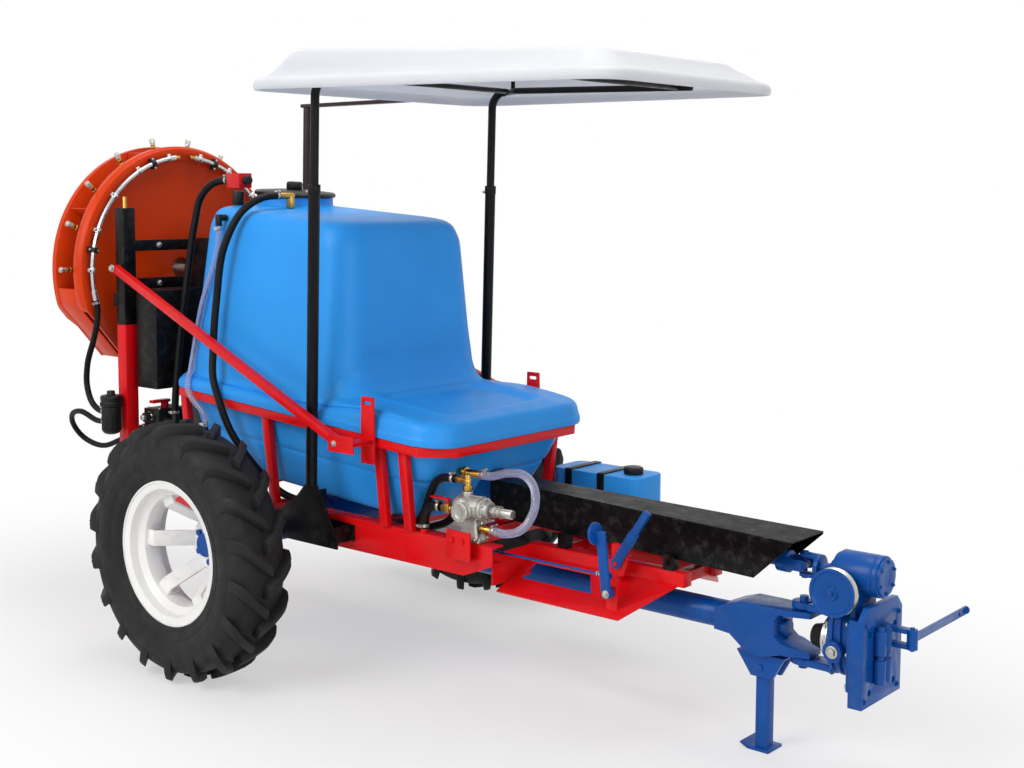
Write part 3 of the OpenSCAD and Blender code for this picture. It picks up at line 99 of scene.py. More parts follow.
def material(name, color, rough=0.4, metal=0.0, coat=0.0, vary=0.10, vary_scale=3.0, grain=(260.0, 0.04),
             rough_vary=0.10, dust=0.20, dust_top=0.5, wear=None, spec=0.5, transmission=0.0, sss=0.0, stretch=None,
             ior=1.45, speckle=0.0, dust_color=(0.30, 0.26, 0.21, 1), glow=0.02):
    """Colour that varies, with worn edges and low dust; grain is the bump's scale and strength."""
    m = bpy.data.materials.new(name)
    m.use_nodes = True
    nt = m.node_tree
    nt.nodes.clear()
    co = node(nt, "TexCoord").outputs["Object"]
    fine_co = node(nt, "Mapping", {"Scale": stretch, "Vector": co}).outputs["Vector"] if stretch else co

    def noise(scale, detail, rough_=0.55, vec=co):
        inputs = {"Scale": scale, "Detail": detail, "Roughness": rough_, "Vector": vec}
        return node(nt, "TexNoise", inputs).outputs["Fac"]

    def remap(sock, a, b, c, d):
        inputs = {"Value": sock, "From Min": a, "From Max": b, "To Min": c, "To Max": d}
        return node(nt, "MapRange", inputs).outputs["Result"]

    def mix(fac, c0, c1):
        # 6 and 7 are a colour mix's two inputs, and 2 is its colour output
        return node(nt, "Mix", {0: fac, 6: c0, 7: c1}, data_type="RGBA").outputs[2]

    def times(a, b):
        return node(nt, "Math", {0: a, 1: b}, operation="MULTIPLY", use_clamp=True).outputs[0]

    base = mix(remap(noise(vary_scale, 5), 0.32, 0.68, 0, 1), shade(color, 1 - vary), shade(color, 1 + vary))
    if speckle:
        base = mix(times(remap(noise(900, 2), 0.55, 0.75, 0, 1), speckle), base, shade(color, 1.7))
    if wear:
        edge = remap(node(nt, "NewGeometry").outputs["Pointiness"], 0.515, 0.60, 0, 1)
        base = mix(times(times(edge, remap(noise(34, 6, 0.7), 0.50, 0.66, 0, 1)), wear[1]), base, wear[0])
    if dust:
        low = remap(node(nt, "SeparateXYZ", {0: co}).outputs["Z"], dust_top, 0.0, 0.12, 1)
        base = mix(times(times(low, remap(noise(9, 8, 0.65), 0.42, 0.72, 0, 1)), dust), base, dust_color)
    inputs = {
        "Base Color": base, "Metallic": metal, "IOR": ior, "Coat Weight": coat, "Coat Roughness": 0.12,
        "Specular IOR Level": spec, "Transmission Weight": transmission,
        "Roughness": remap(noise(22, 5), 0.3, 0.7, max(rough - rough_vary, 0.02), min(rough + rough_vary, 1)),
        "Normal": node(nt, "Bump", {"Strength": grain[1], "Distance": 0.002,
                                    "Height": noise(grain[0], 3, 0.5, fine_co)}).outputs["Normal"]}
    if sss:
        inputs.update({"Subsurface Weight": sss, "Subsurface Radius": (1.0, 1.0, 1.0), "Subsurface Scale": glow})
    node(nt, "OutputMaterial", {"Surface": node(nt, "BsdfPrincipled", inputs).outputs["BSDF"]})
    return m


RED = material("red_enamel", srgb(222, 8, 18), 0.35, coat=0.06, spec=0.25, wear=(srgb(120, 60, 50), 0.4),
               grain=(300, 0.03), dust=0.05, vary=0.06)
BLUE = material("blue_enamel", srgb(2, 74, 152), 0.32, coat=0.08, spec=0.22,
                wear=(srgb(70, 105, 140), 0.35), grain=(240, 0.06), dust=0.06, vary=0.09, vary_scale=7)
TANK = material("tank_polyethylene", srgb(44, 152, 236), 0.42, vary=0.05, grain=(420, 0.05), dust=0.03,
                sss=0.08, rough_vary=0.06, spec=0.28)
CANOPY = material("canopy_polyethylene", srgb(206, 207, 211), 0.40, vary=0.015, grain=(380, 0.04),
                  dust=0.03, sss=0.75, dust_top=2.2, spec=0.25, glow=0.045)
ORANGE = material("fan_enamel", srgb(208, 58, 9), 0.36, coat=0.05, spec=0.16,
                  wear=(srgb(170, 90, 60), 0.4), dust=0.05, vary=0.07)
BLACK = material("black_enamel", srgb(10, 9, 10), 0.40, coat=0.04, spec=0.18,
                 wear=(srgb(80, 76, 74), 0.3), dust=0.03, dust_top=0.8)
BROWN = material("aged_black_enamel", srgb(46, 33, 30), 0.45, spec=0.3, vary=0.2, vary_scale=9,
                 dust=0.03)
SHIELD = material("shield_enamel", srgb(11, 12, 13), 0.42, coat=0.03, spec=0.14,
                  wear=(srgb(80, 78, 76), 0.3), dust=0.0)
WHITE = material("white_enamel", srgb(240, 239, 236), 0.34, coat=0.15, vary=0.03, dust=0.16,
                 dust_top=0.7, wear=(srgb(150, 120, 95), 0.5))
TYRE = material("tyre_rubber", srgb(27, 27, 28), 0.66, vary=0.18, vary_scale=8, grain=(180, 0.22),
                dust=0.18, dust_top=0.85, spec=0.3, dust_color=(0.10, 0.09, 0.08, 1), speckle=0.06)
HOSE = material("hose_rubber", srgb(11, 11, 13), 0.45, vary=0.12, grain=(500, 0.10), dust=0.03,
                dust_top=1.2, spec=0.2)
BLACKP = material("black_plastic", srgb(16, 16, 18), 0.42, grain=(600, 0.10), dust=0.05, dust_top=1.0,
                  spec=0.35)
REDP = material("red_plastic", srgb(206, 14, 24), 0.30, vary=0.06, grain=(500, 0.05), dust=0.03,
                spec=0.4)
CAST = material("cast_aluminium", srgb(176, 174, 168), 0.42, metal=0.85, vary=0.16, vary_scale=14,
                grain=(420, 0.28), dust=0.12, dust_top=1.0)
STAINLESS = material("stainless_steel", srgb(196, 196, 198), 0.26, metal=1.0, vary=0.08,
                     grain=(90, 0.06), stretch=(14, 1, 1), dust=0.05)
ZINC = material("zinc_plate", srgb(190, 187, 178), 0.32, metal=0.95, vary=0.14, vary_scale=30,
                grain=(300, 0.08), dust=0.08)
BRASS = material("brass", srgb(190, 148, 76), 0.30, metal=1.0, vary=0.18, vary_scale=20, grain=(300, 0.06),
                 dust=0.08)
CLEAR = material("clear_pvc", srgb(206, 208, 232), 0.18, transmission=0.72, vary=0.04, grain=(200, 0.04),
                 dust=0.03, ior=1.33)
BELLOWS = material("bellows_rubber", srgb(32, 32, 33), 0.6, vary=0.12, grain=(300, 0.15), dust=0.3)


# ---------------------------------------------------------------- mesh tools

def link(o):
    bpy.context.scene.collection.objects.link(o)
    return o


def new_object(name, verts, faces):
    """A mesh object whose faces all look outwards."""
    me = bpy.data.meshes.new(name)
    me.from_pydata(verts, [], faces)
    me.validate()
    bm = bmesh.new()
    bm.from_mesh(me)
    bmesh.ops.recalc_face_normals(bm, faces=bm.faces)
    bm.to_mesh(me)
    bm.free()
    me.update()
    return link(bpy.data.objects.new(name, me))


def finish_piece(o, mat, body, replaces=(), angle=32.0):
    if mat:
        o.data.materials.clear()
        o.data.materials.append(mat)
    o.data.shade_smooth()
    o.data.set_sharp_from_angle(angle=math.radians(angle))
    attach(o, body)
    if replaces:
        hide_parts(*replaces)


def apply_modifiers(o):
    bpy.context.view_layer.update()
    me = bpy.data.meshes.new_from_object(o.evaluated_get(bpy.context.evaluated_depsgraph_get()))
    o.modifiers.clear()
    o.data = me


def bevel(o, width, segments=2):
    """Rounds the edges that turn by more than 30 degrees."""
    m = o.modifiers.new("bevel", "BEVEL")
    m.width, m.segments = width, segments
    m.limit_method, m.angle_limit = "ANGLE", math.radians(30)
    m.use_clamp_overlap, m.harden_normals = True, False
    m.miter_outer = "MITER_ARC"
    apply_modifiers(o)


def soften(name, mat, width, rules):
    """A bevelled copy of a CAD node, which it replaces; rules give other materials to faces by their middle, in mm."""
    bm = bmesh.new()
    bm.from_mesh(NODES[name].data)
    bmesh.ops.remove_doubles(bm, verts=bm.verts, dist=1e-5)
    bmesh.ops.dissolve_limit(bm, angle_limit=math.radians(0.6), verts=bm.verts, edges=bm.edges)
    bmesh.ops.recalc_face_normals(bm, faces=bm.faces)
    for f in bm.faces:
        c = f.calc_center_median() * 1000
        f.material_index = next((k + 1 for k, (_, test) in enumerate(rules) if test(c.x - SHIFT, c.y, c.z)), 0)
    me = bpy.data.meshes.new(name + "_form")
    bm.to_mesh(me)
    bm.free()
    for m in [mat] + [k for k, _ in rules]:
        me.materials.append(m)
    o = link(bpy.data.objects.new(name + "_form", me))
    bevel(o, width)
    finish_piece(o, None, BODY_OF[name], (name,))


def square_to(axis):
    """The unit axis, and two unit vectors square to it and to each other."""
    a = Vector(axis).normalized()
    u = Z if abs(a.z) < 0.9 else X
    u = (u - a * u.dot(a)).normalized()
    return a, u, a.cross(u)


class Geo:
    """Collects closed pieces of one material, then makes them one object."""

    def __init__(self):
        self.v, self.f = [], []

    def put(self, verts, faces):
        k = len(self.v)
        self.v += [tuple(p) for p in verts]
        self.f += [tuple(i + k for i in f) for f in faces]
        return self

    def box(self, x0, x1, y0, y1, z0, z1, place):
        """A box in metres, moved by the matrix place."""
        v = [place @ Vector((x, y, z)) for z in (z0, z1) for x, y in ((x0, y0), (x1, y0), (x1, y1), (x0, y1))]
        return self.put(v, [(3, 2, 1, 0), (4, 5, 6, 7), (0, 1, 5, 4), (1, 2, 6, 5), (2, 3, 7, 6), (3, 0, 4, 7)])

    def block(self, x0, x1, y0, y1, z0, z1):
        """A box in mm in the axle layout."""
        a, b = P(x0, y0, z0), P(x1, y1, z1)
        return self.box(a[0], b[0], a[1], b[1], a[2], b[2], Matrix())

    def rings(self, rings, closed=False):
        """Skin over rings of points; the last joins the first where closed, or else both ends are capped."""
        n, m = len(rings[0]), len(rings)
        f = []
        for i in range(m if closed else m - 1):
            a, b = i * n, ((i + 1) % m) * n
            f += [(a + j, a + (j + 1) % n, b + (j + 1) % n, b + j) for j in range(n)]
        if not closed:
            f += [tuple(range(n))[::-1], tuple((m - 1) * n + j for j in range(n))]
        return self.put([p for r in rings for p in r], f)

    def lathe(self, profile, origin, axis, segs=96, closed=True):
        """Revolves (r, t) points, in metres, about an axis through origin; closed joins the profile's ends."""
        a, u, w = square_to(axis)
        o = Vector(origin)
        rings = []
        for i in range(segs):
            t = 2 * math.pi * i / segs
            d = u * math.cos(t) + w * math.sin(t)
            rings.append([tuple(o + d * r + a * h) for r, h in profile])
        if closed:
            return self.rings(rings, closed=True)
        n, f = len(profile), []
        for i in range(segs):
            p, q = i * n, ((i + 1) % segs) * n
            f += [(p + j, p + j + 1, q + j + 1, q + j) for j in range(n - 1)]
        if profile[0][0] > 1e-9:
            f.append(tuple(i * n for i in range(segs)))
        if profile[-1][0] > 1e-9:
            f.append(tuple(i * n + n - 1 for i in range(segs))[::-1])
        return self.put([p for r in rings for p in r], f)

    def cyl(self, a, b, r, segs=32, chamfer=0.0):
        """Cylinder between two row-frame points, with chamfered ends."""
        a, d = Vector(a), Vector(b) - Vector(a)
        h = d.length
        c = min(chamfer, h / 3, r / 2)
        profile = [(r - c, 0), (r, c), (r, h - c), (r - c, h)] if c else [(r, 0), (r, h)]
        return self.lathe(profile, a, d, segs, closed=False)

    def tube(self, path, r, segs=12):
        pts = [Vector(p) for p in path]
        n = len(pts)
        tang = [(pts[min(i + 1, n - 1)] - pts[max(i - 1, 0)]).normalized() for i in range(n)]
        u = square_to(tang[0])[1]
        turns = [2 * math.pi * j / segs for j in range(segs)]
        rings = []
        for p, t in zip(pts, tang):
            u = (u - t * u.dot(t)).normalized()
            w = t.cross(u)
            rings.append([tuple(p + (u * math.cos(a) + w * math.sin(a)) * r) for a in turns])
        return self.rings(rings)

    def prism(self, poly, origin, ux, uy, depth):
        """Extrudes a 2-D outline from origin in the plane of ux and uy, along their cross product."""
        o, k = Vector(origin), len(poly)
        lo = [o + ux * x + uy * y for x, y in poly]
        f = [tuple(range(k))[::-1], tuple(range(k, 2 * k))]
        f += [(i, (i + 1) % k, k + (i + 1) % k, k + i) for i in range(k)]
        return self.put(lo + [p + ux.cross(uy) * depth for p in lo], f)

    def hex(self, c, axis, r, h):
        """Chamfered hexagon head standing on c along axis."""
        a, u, w = square_to(axis)
        turns = [math.pi / 3 * j for j in range(6)]
        return self.rings([[tuple(Vector(c) + a * t + (u * math.cos(b) + w * math.sin(b)) * q) for b in turns]
                           for q, t in ((r, 0), (r, h * 0.82), (r * 0.88, h))])

    def heads(self, axis, *rows):
        """Hexagons that face one way: x, y, z, radius and height of each, in mm in the axle layout."""
        for x, y, z, r, h in rows:
            self.hex(P(x, y, z), axis, r / 1000, h / 1000)

    def bolt(self, c, axis, r, h=None):
        """Hex head on a washer at c."""
        seat = Vector(c) + axis * r * 0.22
        self.cyl(c, seat, r * 1.35, 24, r * 0.05)
        return self.hex(seat, axis, r, h or r * 0.8)

    def obj(self, name, mat, where, bevel_w=0.0, segments=2, angle=32.0, stands=False):
        """Makes the object, which rides with a body or a CAD node; where stands is true, it replaces that node."""
        o = new_object(name, self.v, self.f)
        if bevel_w:
            bevel(o, bevel_w, segments)
        finish_piece(o, mat, BODY_OF.get(where, where), (where,) if stands else (), angle)


# ---------------------------------------------------------------- camera and light

def make_camera():
    """The photo's camera, as fitted: 1426 px of focal length and the axis at (480, 325) in a 1024 x 768 frame."""
    yaw, pitch, roll = math.radians(130.9098), math.radians(5.2471), math.radians(0.0894)
    f = Vector((math.cos(yaw) * math.cos(pitch), math.sin(yaw) * math.cos(pitch), -math.sin(pitch)))
    r = Vector((math.sin(yaw), -math.cos(yaw), 0))
    u = r.cross(f)
    c, s = math.cos(roll), math.sin(roll)
    cam = bpy.data.cameras.new("camera")
    cam.sensor_width, cam.clip_end = 36, 100
    cam.lens = 1426.083 / 1024 * cam.sensor_width
    cam.shift_x, cam.shift_y = (512 - 480.234) / 1024, (324.515 - 384) / 1024
    o = link(bpy.data.objects.new("camera", cam))
    turn = Matrix((r * c + u * s, u * c - r * s, -f)).transposed().to_4x4()
    o.matrix_world = Matrix.Translation((3.05847, -3.36995, 1.50882)) @ turn
    bpy.context.scene.camera = o


def area(name, place, target, size, power):
    lamp = bpy.data.lights.new(name, "AREA")
    lamp.shape, lamp.size, lamp.energy = "DISK", size, power
    aim = (Vector(target) - Vector(place)).to_track_quat("-Z", "Y").to_matrix().to_4x4()
    link(bpy.data.objects.new(name, lamp)).matrix_world = Matrix.Translation(place) @ aim


def seen_directly(nt):
    """1 for camera, mirror and see-through rays, 0 for the light that the object receives."""
    rays = node(nt, "LightPath").outputs
    last = rays["Is Camera Ray"]
    for name in ("Is Glossy Ray", "Is Transmission Ray"):
        last = node(nt, "Math", {0: last, 1: rays[name]}, operation="MAXIMUM").outputs[0]
    return last


def make_stage():
    """A pale floor that turns white away from the object, a white world and three soft lamps."""
    me = bpy.data.meshes.new("floor")
    me.from_pydata([(-14, -14, 0), (14, -14, 0), (14, 14, 0), (-14, 14, 0)], [], [(0, 1, 2, 3)])
    m = bpy.data.materials.new("floor_paper")
    m.use_nodes = True
    nt = m.node_tree
    paper = nt.nodes["Principled BSDF"]
    for key, value in (("Base Color", (0.86, 0.86, 0.87, 1)), ("Roughness", 0.95), ("Specular IOR Level", 0.1)):
        paper.inputs[key].default_value = value
    flat = node(nt, "Mapping", {"Vector": node(nt, "TexCoord").outputs["Object"], "Scale": (0.6, 1, 0)})
    far = node(nt, "VectorMath", {0: flat.outputs["Vector"]}, operation="LENGTH")
    fade = node(nt, "MapRange", {"Value": far.outputs["Value"], "From Min": 0.75, "From Max": 2.0, "To Min": 0.50,
                                 "To Max": 1.0}, interpolation_type="SMOOTHSTEP")
    share = node(nt, "Math", {0: fade.outputs["Result"], 1: seen_directly(nt)}, operation="MULTIPLY")
    look = node(nt, "MixShader", {0: share.outputs[0], 1: paper.outputs[0],
                                  2: node(nt, "Emission", {"Strength": 1.0}).outputs[0]})
    nt.links.new(look.outputs[0], nt.nodes["Material Output"].inputs["Surface"])
    me.materials.append(m)
    link(bpy.data.objects.new("floor", me))
    w = bpy.data.worlds.new("world")
    bpy.context.scene.world = w
    w.use_nodes = True
    nt = w.node_tree
    nt.nodes.clear()
    light = node(nt, "MapRange", {"Value": seen_directly(nt), "To Min": 0.42, "To Max": 1.0}).outputs["Result"]
    node(nt, "OutputWorld", {"Surface": node(nt, "Background", {"Color": (1, 1, 1, 1), "Strength": light}).outputs[0]})
    area("key", (-0.6, -5.0, 3.9), (0, 0, 0.8), 3.6, 172)
    area("front", (5.2, -2.0, 2.6), (0.2, 0, 0.8), 2.6, 62)
    area("top", (0.4, 0.6, 5.6), (0, 0, 0.9), 3.4, 110)


bpy.context.scene.view_settings.view_transform = "Standard"
make_camera()
make_stage()


# ---------------------------------------------------------------- hoses

def hose(name, route, radius, mat, stands_for):
    """One bezier spline through the route, smooth at every point, with long stretches divided."""
    pts = [Vector(P(*p)) for p in route]
    seg = [b - a for a, b in zip(pts, pts[1:])]
    unit = [v.normalized() for v in seg]
    tang = [unit[0]] + [(unit[i] * seg[i + 1].length + unit[i + 1] * seg[i].length).normalized()
                        for i in range(len(seg) - 1)] + [unit[-1]]
    cuts = [1] * len(seg)
    while sum(cuts) + 1 < max(24, len(pts)):
        cuts[max(range(len(seg)), key=lambda n: seg[n].length / cuts[n])] += 1
    knots = []               # place, handle ahead and handle behind
    for i, d in enumerate(seg):
        b, c, ta, tb = pts[i], pts[i + 1], tang[i] * d.length, tang[i + 1] * d.length
        for k in range(cuts[i]):
            t = k / cuts[i]
            if k == 0 and i:
                knots.append((b, ta / cuts[i] / 3, tang[i] * seg[i - 1].length / cuts[i - 1] / 3))
                continue
            slope = (b - c) * (6 * t ** 2 - 6 * t) + ta * (3 * t ** 2 - 4 * t + 1) + tb * (3 * t ** 2 - 2 * t)
            knots.append((hermite(b, ta, c, tb, t), slope / cuts[i] / 3, slope / cuts[i] / 3))
    knots.append((pts[-1],) + (tang[-1] * seg[-1].length / cuts[-1] / 3,) * 2)
    cu = bpy.data.curves.new(name, "CURVE")
    cu.dimensions, cu.use_fill_caps = "3D", True
    cu.bevel_depth, cu.bevel_resolution, cu.resolution_u = radius / 1000, 6, 8
    sp = cu.splines.new("BEZIER")
    sp.bezier_points.add(len(knots) - 1)
    for q, (at, ahead, back) in zip(sp.bezier_points, knots):
        q.handle_left_type = q.handle_right_type = "FREE"
        q.co, q.handle_right, q.handle_left = at, at + ahead, at - back
    sp.use_smooth = True
    cu.materials.append(mat)
    o = link(bpy.data.objects.new(name, cu))
    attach(o, "chassis")
    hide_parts(stands_for)
    for (a, ahead, _), (b, _, back) in zip(knots, knots[1:]):
        q = [a * (1 - t) ** 3 + (a + ahead) * 3 * t * (1 - t) ** 2 + (b - back) * 3 * t * t * (1 - t) + b * t ** 3
             for t in (k / 12 for k in range(13))]


# Routes as in part.scad: each hose's points in mm in the axle layout
SIGHT = [[-250, -330, 1399.7], [-250, -330, 1380], [-332, -347, 1113], [-366, -358, 950], [-358, -376, 902],
         [-351, -393, 870], [-341, -397, 839], [-323, -394, 813], [-294, -373, 767], [-290, -368, 744],
         [-290, -368, 722.3]]
RETURN = [[-124, -172.3, 1500], [-124, -200, 1500], [-125, -251, 1492], [-147, -306, 1456], [-184, -350, 1358],
          [-218, -370, 1154], [-222, -384, 985], [-206, -399, 900], [-176, -401, 830], [-140, -385, 730],
          [-101, -344, 638], [-70, -302, 570], [-16, -270, 517], [70, -261, 499.5], [548, -261, 499.5],
          [584, -263, 506], [612, -266, 523], [636, -271, 552], [679, -284, 626], [701, -290, 653],
          [731, -297, 670], [764, -300, 676], [785.7, -300, 676]]
FEED = [[-374.3, -185, 1553], [-400, -185, 1553], [-450, -192, 1543], [-501, -202, 1500], [-527, -215, 1400],
        [-542, -235, 1240], [-548, -286, 880], [-545, -300, 750], [-545, -300, 728.3]]
MANIFOLD = [[-858, -405.6, 1123.6], [-858, -400.8, 1104.5], [-859, -401, 1050], [-870, -408, 990],
            [-902, -418, 886], [-906, -418, 808], [-875, -418, 750], [-824, -418, 728], [-796, -418, 728]]
FILTER = [[-796, -418, 690], [-850, -418, 690], [-935, -431, 716], [-995, -425, 698], [-1025, -401, 653],
          [-1014, -370, 606], [-961, -340, 577], [-858, -318, 604], [-791, -301, 647], [-740, -300, 662],
          [-712.3, -300, 662]]
LOOP = [[800.3, -200, 674], [836, -200, 674], [902, -205, 692], [990, -222, 697], [1047, -250, 660],
        [1058, -275, 606], [1034, -293, 562], [985, -300, 542], [926.3, -300, 542]]
SUCTION = [[741.7, -312, 588], [716, -312, 588], [690, -312, 574], [676, -312, 548], [672, -312, 530],
           [672, -312, 512.3]]
BUNDLE = [[-577.7, -238, 655], [-555, -238, 655], [-487, -238, 622], [-444, -238, 556], [-397, -236, 513],
          [-340, -233, 499], [640, -233, 499], [686, -232, 517], [729, -231, 551], [771, -230, 583],
          [805, -230, 593], [821.7, -230, 593]]


def clamp(g, at, along, r):
    """Worm-drive clamp round a hose: band, screw housing and screw head."""
    a, d = Vector(at), Vector(along).normalized()
    r, w = r / 1000, 0.0045
    g.lathe([(r - .0004, -w), (r + .0008, -w), (r + .0011, -w + .001), (r + .0011, w - .001), (r + .0008, w),
             (r - .0004, w)], a, d, 32)
    up = Z if abs(d.z) < 0.8 else -Y
    up = (up - d * up.dot(d)).normalized()
    side = d.cross(up)
    c = a + up * (r + .0035)
    g.prism([(-.0085, -w), (.0085, -w), (.0085, w), (-.0085, w)], c - up * .003, side, d, .0052)
    g.cyl(c - side * .015, c - side * .008, .0034, 12, .0006)


def make_hoses():
    hoses = (("sight_tube_hose", SIGHT, 9, CLEAR, "sight_tube"), ("return_line", RETURN, 12.5, HOSE, "return_hose"),
             ("fan_feed_line", FEED, 13, HOSE, "fan_feed_hose"), ("manifold_line", MANIFOLD, 11, HOSE, "manifold_hose"),
             ("filter_line", FILTER, 10, HOSE, "filter_hose"),
             ("pump_clear_line", LOOP, 12.5, CLEAR, "pump_clear_hose"),
             ("suction_line", SUCTION, 14, HOSE, "chassis_hoses"), ("delivery_line", BUNDLE, 12, HOSE, "chassis_hoses"))
    clamps = Geo()
    for name, route, radius, mat, stands_for in hoses:
        for a, b in ((route[0], route[1]), (route[-1], route[-2])):
            d = (Vector(b) - Vector(a)).normalized()
            clamp(clamps, P(*(Vector(a) + d * 9)), d, radius)
    clamps.obj("hose_clamps", ZINC, "chassis", angle=40)
    for name, route, radius, mat, stands_for in hoses:
        # the suction line is a stub of under six diameters
        hose(name, route, radius, mat, stands_for)


# ---------------------------------------------------------------- tank

CORNER, SIDE = 9, 8          # steps round a corner and along a side of an outline


def arc(cx, cy, r, a0):
    turns = [math.radians(a0 + 90 * i / CORNER) for i in range(CORNER + 1)]
    return [(cx + r * math.cos(a), cy + r * math.sin(a)) for a in turns]


def along(a, b):
    return [(lerp(a[0], b[0], i / SIDE), lerp(a[1], b[1], i / SIDE)) for i in range(1, SIDE)]


def plan(x0, x1, hw0, hw1, r0, r1):
    """Outline seen from above: half-widths and corner radii at its rear, x0, and its front, x1."""
    return (arc(x1 - r1, -hw1 + r1, r1, -90) + along((x1, -hw1 + r1), (x1, hw1 - r1))
            + arc(x1 - r1, hw1 - r1, r1, 0) + along((x1 - r1, hw1), (x0 + r0, hw0))
            + arc(x0 + r0, hw0 - r0, r0, 90) + along((x0, hw0 - r0), (x0, -hw0 + r0))
            + arc(x0 + r0, -hw0 + r0, r0, 180) + along((x0 + r0, -hw0), (x1 - r1, -hw1)))


def tub(t, g):
    return plan(lerp(-385, -442, t) - g, lerp(640, 752, t) + g, lerp(296, 348, t) + g, lerp(286, 344, t) + g, 90, 110)


def flange(g):
    return plan(-475 - g, 790 + g, 385 + g, 385 + g, 95, 120)


def hump(t, g):
    return plan(lerp(-462, -438, t) - g, lerp(348, 280, t) + g, lerp(348, 304, t) + g, lerp(346, 302, t) + g, 120, 105)


def crown(i, g):
    return plan(-438 + i * 0.35 - g, 280 - i + g, 304 - i + g, 302 - i + g, 120, 105)


def lift(o, z):
    return [(x, y, z) for x, y in o]


def rise(o, side, seat):
    """The outline at the height side, rising to the height seat towards the front."""
    return [(x, y, lerp(side, seat, min(max((x - 240) / 260, 0), 1))) for x, y in o]


def between(a, b, t):
    return [(lerp(p[0], q[0], t), lerp(p[1], q[1], t)) for p, q in zip(a, b)]


def on_circle(o, c, r):
    """The outline's points moved onto a circle about (c, 0)."""
    rays = [Vector((x - c, y)).normalized() * r for x, y in o]
    return [(c + d.x, d.y) for d in rays]


def tank_world(p):
    """From the tank's own frame, tilted by 4 degrees, to the row frame."""
    a = math.radians(4)
    return P(p[0] * math.cos(a) + p[2] * math.sin(a), p[1], 830 + p[2] * math.cos(a) - p[0] * math.sin(a))


def soft(t):
    t = min(max(t, 0), 1)
    return t * t * (3 - 2 * t)


def seat_form(u, v):
    """Moulded relief of the seat: a dished panel inside a raised roll, and a step along the front edge."""
    if u < 345:
        return 0.0
    du, dv = abs(u - 545) - 95, abs(v) - 175
    d = math.hypot(max(du, 0), max(dv, 0)) + min(max(du, dv), 0) - 45
    return (-13 * soft(-d / 34 + 0.35) + 5 * math.exp(-((d - 34) / 20) ** 2)) * soft((u - 352) / 40)


def make_tank():
    neck_x = -284
    edge, foot, pad, top = flange(-8), hump(0, 0), plan(-465, 764, 359, 359, 95, 120), crown(60, 0)
    fillet, neck = between(edge, foot, 0.45), on_circle(hump(1, 0), neck_x, 133)
    floor, bore = on_circle(tub(0, -22), 120, 30), on_circle(neck, neck_x, 125)
    # outside, from the middle of the floor up to the neck
    rings = [lift(floor, -272), lift(between(floor, tub(0, -22), .8), -272)]
    rings += [lift(tub(t, g), z) for t, g, z in (
        (0, -22, -272), (0, -5, -267), (0.02, 0, -250), (0.28, 0, -196), (0.49, 0, -152), (0.505, -3, -147),
        (0.53, -4, -141), (0.57, -1, -135), (0.62, 0, -126), (0.84, 0, -60), (1, 0, -17), (1, 1, -12.5))]
    rings += [lift(flange(g), z) for g, z in ((-3, -12), (-0.8, -11), (0, -7), (0, 7), (-1.5, 11))]
    rings += [rise(flange(-4), 14, 16), rise(edge, 22, 44), rise(between(edge, pad, 0.45), 28, 56), rise(pad, 30, 61.5),
              rise(between(pad, fillet, 0.4), 32, 66), rise(fillet, 36, 71)]
    rings += [rise(between(edge, foot, t), side, seat) for t, side, seat in
              ((0.62, 38, 76), (0.78, 41, 82), (0.9, 46, 95))]
    rings += [rise(hump(0.02, 0), 60, 116)]
    rings += [lift(hump(t, 0), z) for t, z in
              ((0.16, 156), (0.34, 225), (0.5, 310), (0.7, 420), (0.86, 505), (0.92, 541))]
    rings += [lift(crown(i, 0), z) for i, z in ((5, 566), (13, 588), (30, 602), (48, 608.5))]
    rings += [lift(between(top, neck, t), z) for t, z in ((0.25, 613), (0.7, 616), (0.96, 618.5), (1, 621), (1, 650))]
    rings += [lift(on_circle(neck, neck_x, r), 653) for r in (132, 126)]
    # inside, from the neck down to the middle of the floor
    rings += [lift(bore, 650), lift(bore, 611), lift(between(crown(60, -8), bore, 0.25), 605), lift(crown(34, -8), 595),
              lift(hump(0.92, -8), 533), rise(hump(0.04, -8), 58, 116), rise(between(edge, foot, 0.85), 34, 82),
              rise(flange(-18), 12, 32), lift(tub(1, -8), -4), lift(tub(0.6, -8), -120),
              lift(on_circle(tub(0.6, -8), 120, 30), -121)]
    skin = Geo().rings(rings)
    tank = new_object("tank_skin", skin.v, skin.f)
    s = tank.modifiers.new("sub", "SUBSURF")
    s.levels = s.render_levels = 2
    apply_modifiers(tank)
    for v in tank.data.vertices:
        if 40 < v.co.z < 130:
            v.co.z += seat_form(v.co.x, v.co.y)
        v.co = tank_world(v.co)
    tunnel = Geo().prism([(-66, 380), (-66, 600), (-62, 622), (-50, 640), (-22, 652), (22, 652), (50, 640), (62, 622),
                          (66, 600), (66, 380)], P(-560, 0, 0), Y / 1000, Z / 1000, 1.4e6)
    cutter = new_object("cutter", tunnel.v, tunnel.f)
    m = tank.modifiers.new("cut", "BOOLEAN")
    m.operation, m.solver, m.object = "DIFFERENCE", "EXACT", cutter
    apply_modifiers(tank)
    bpy.data.objects.remove(cutter)
    finish_piece(tank, TANK, "chassis", ("tank_shell",), angle=50)


# ---------------------------------------------------------------- wheels

CARCASS_R, SEAT_R, RIM_R, TYRE_HALF, WHEEL_Y, AXLE_Z = 0.378, 0.204, 0.226, 0.1, 0.677, 0.405


def catmull(vals, t):
    i = min(int(t), len(vals) - 2)
    p0, p1, p2, p3 = vals[max(i - 1, 0)], vals[i], vals[i + 1], vals[min(i + 2, len(vals) - 1)]
    return hermite(p1, (p2 - p0) / 2, p2, (p3 - p1) / 2, t - i)


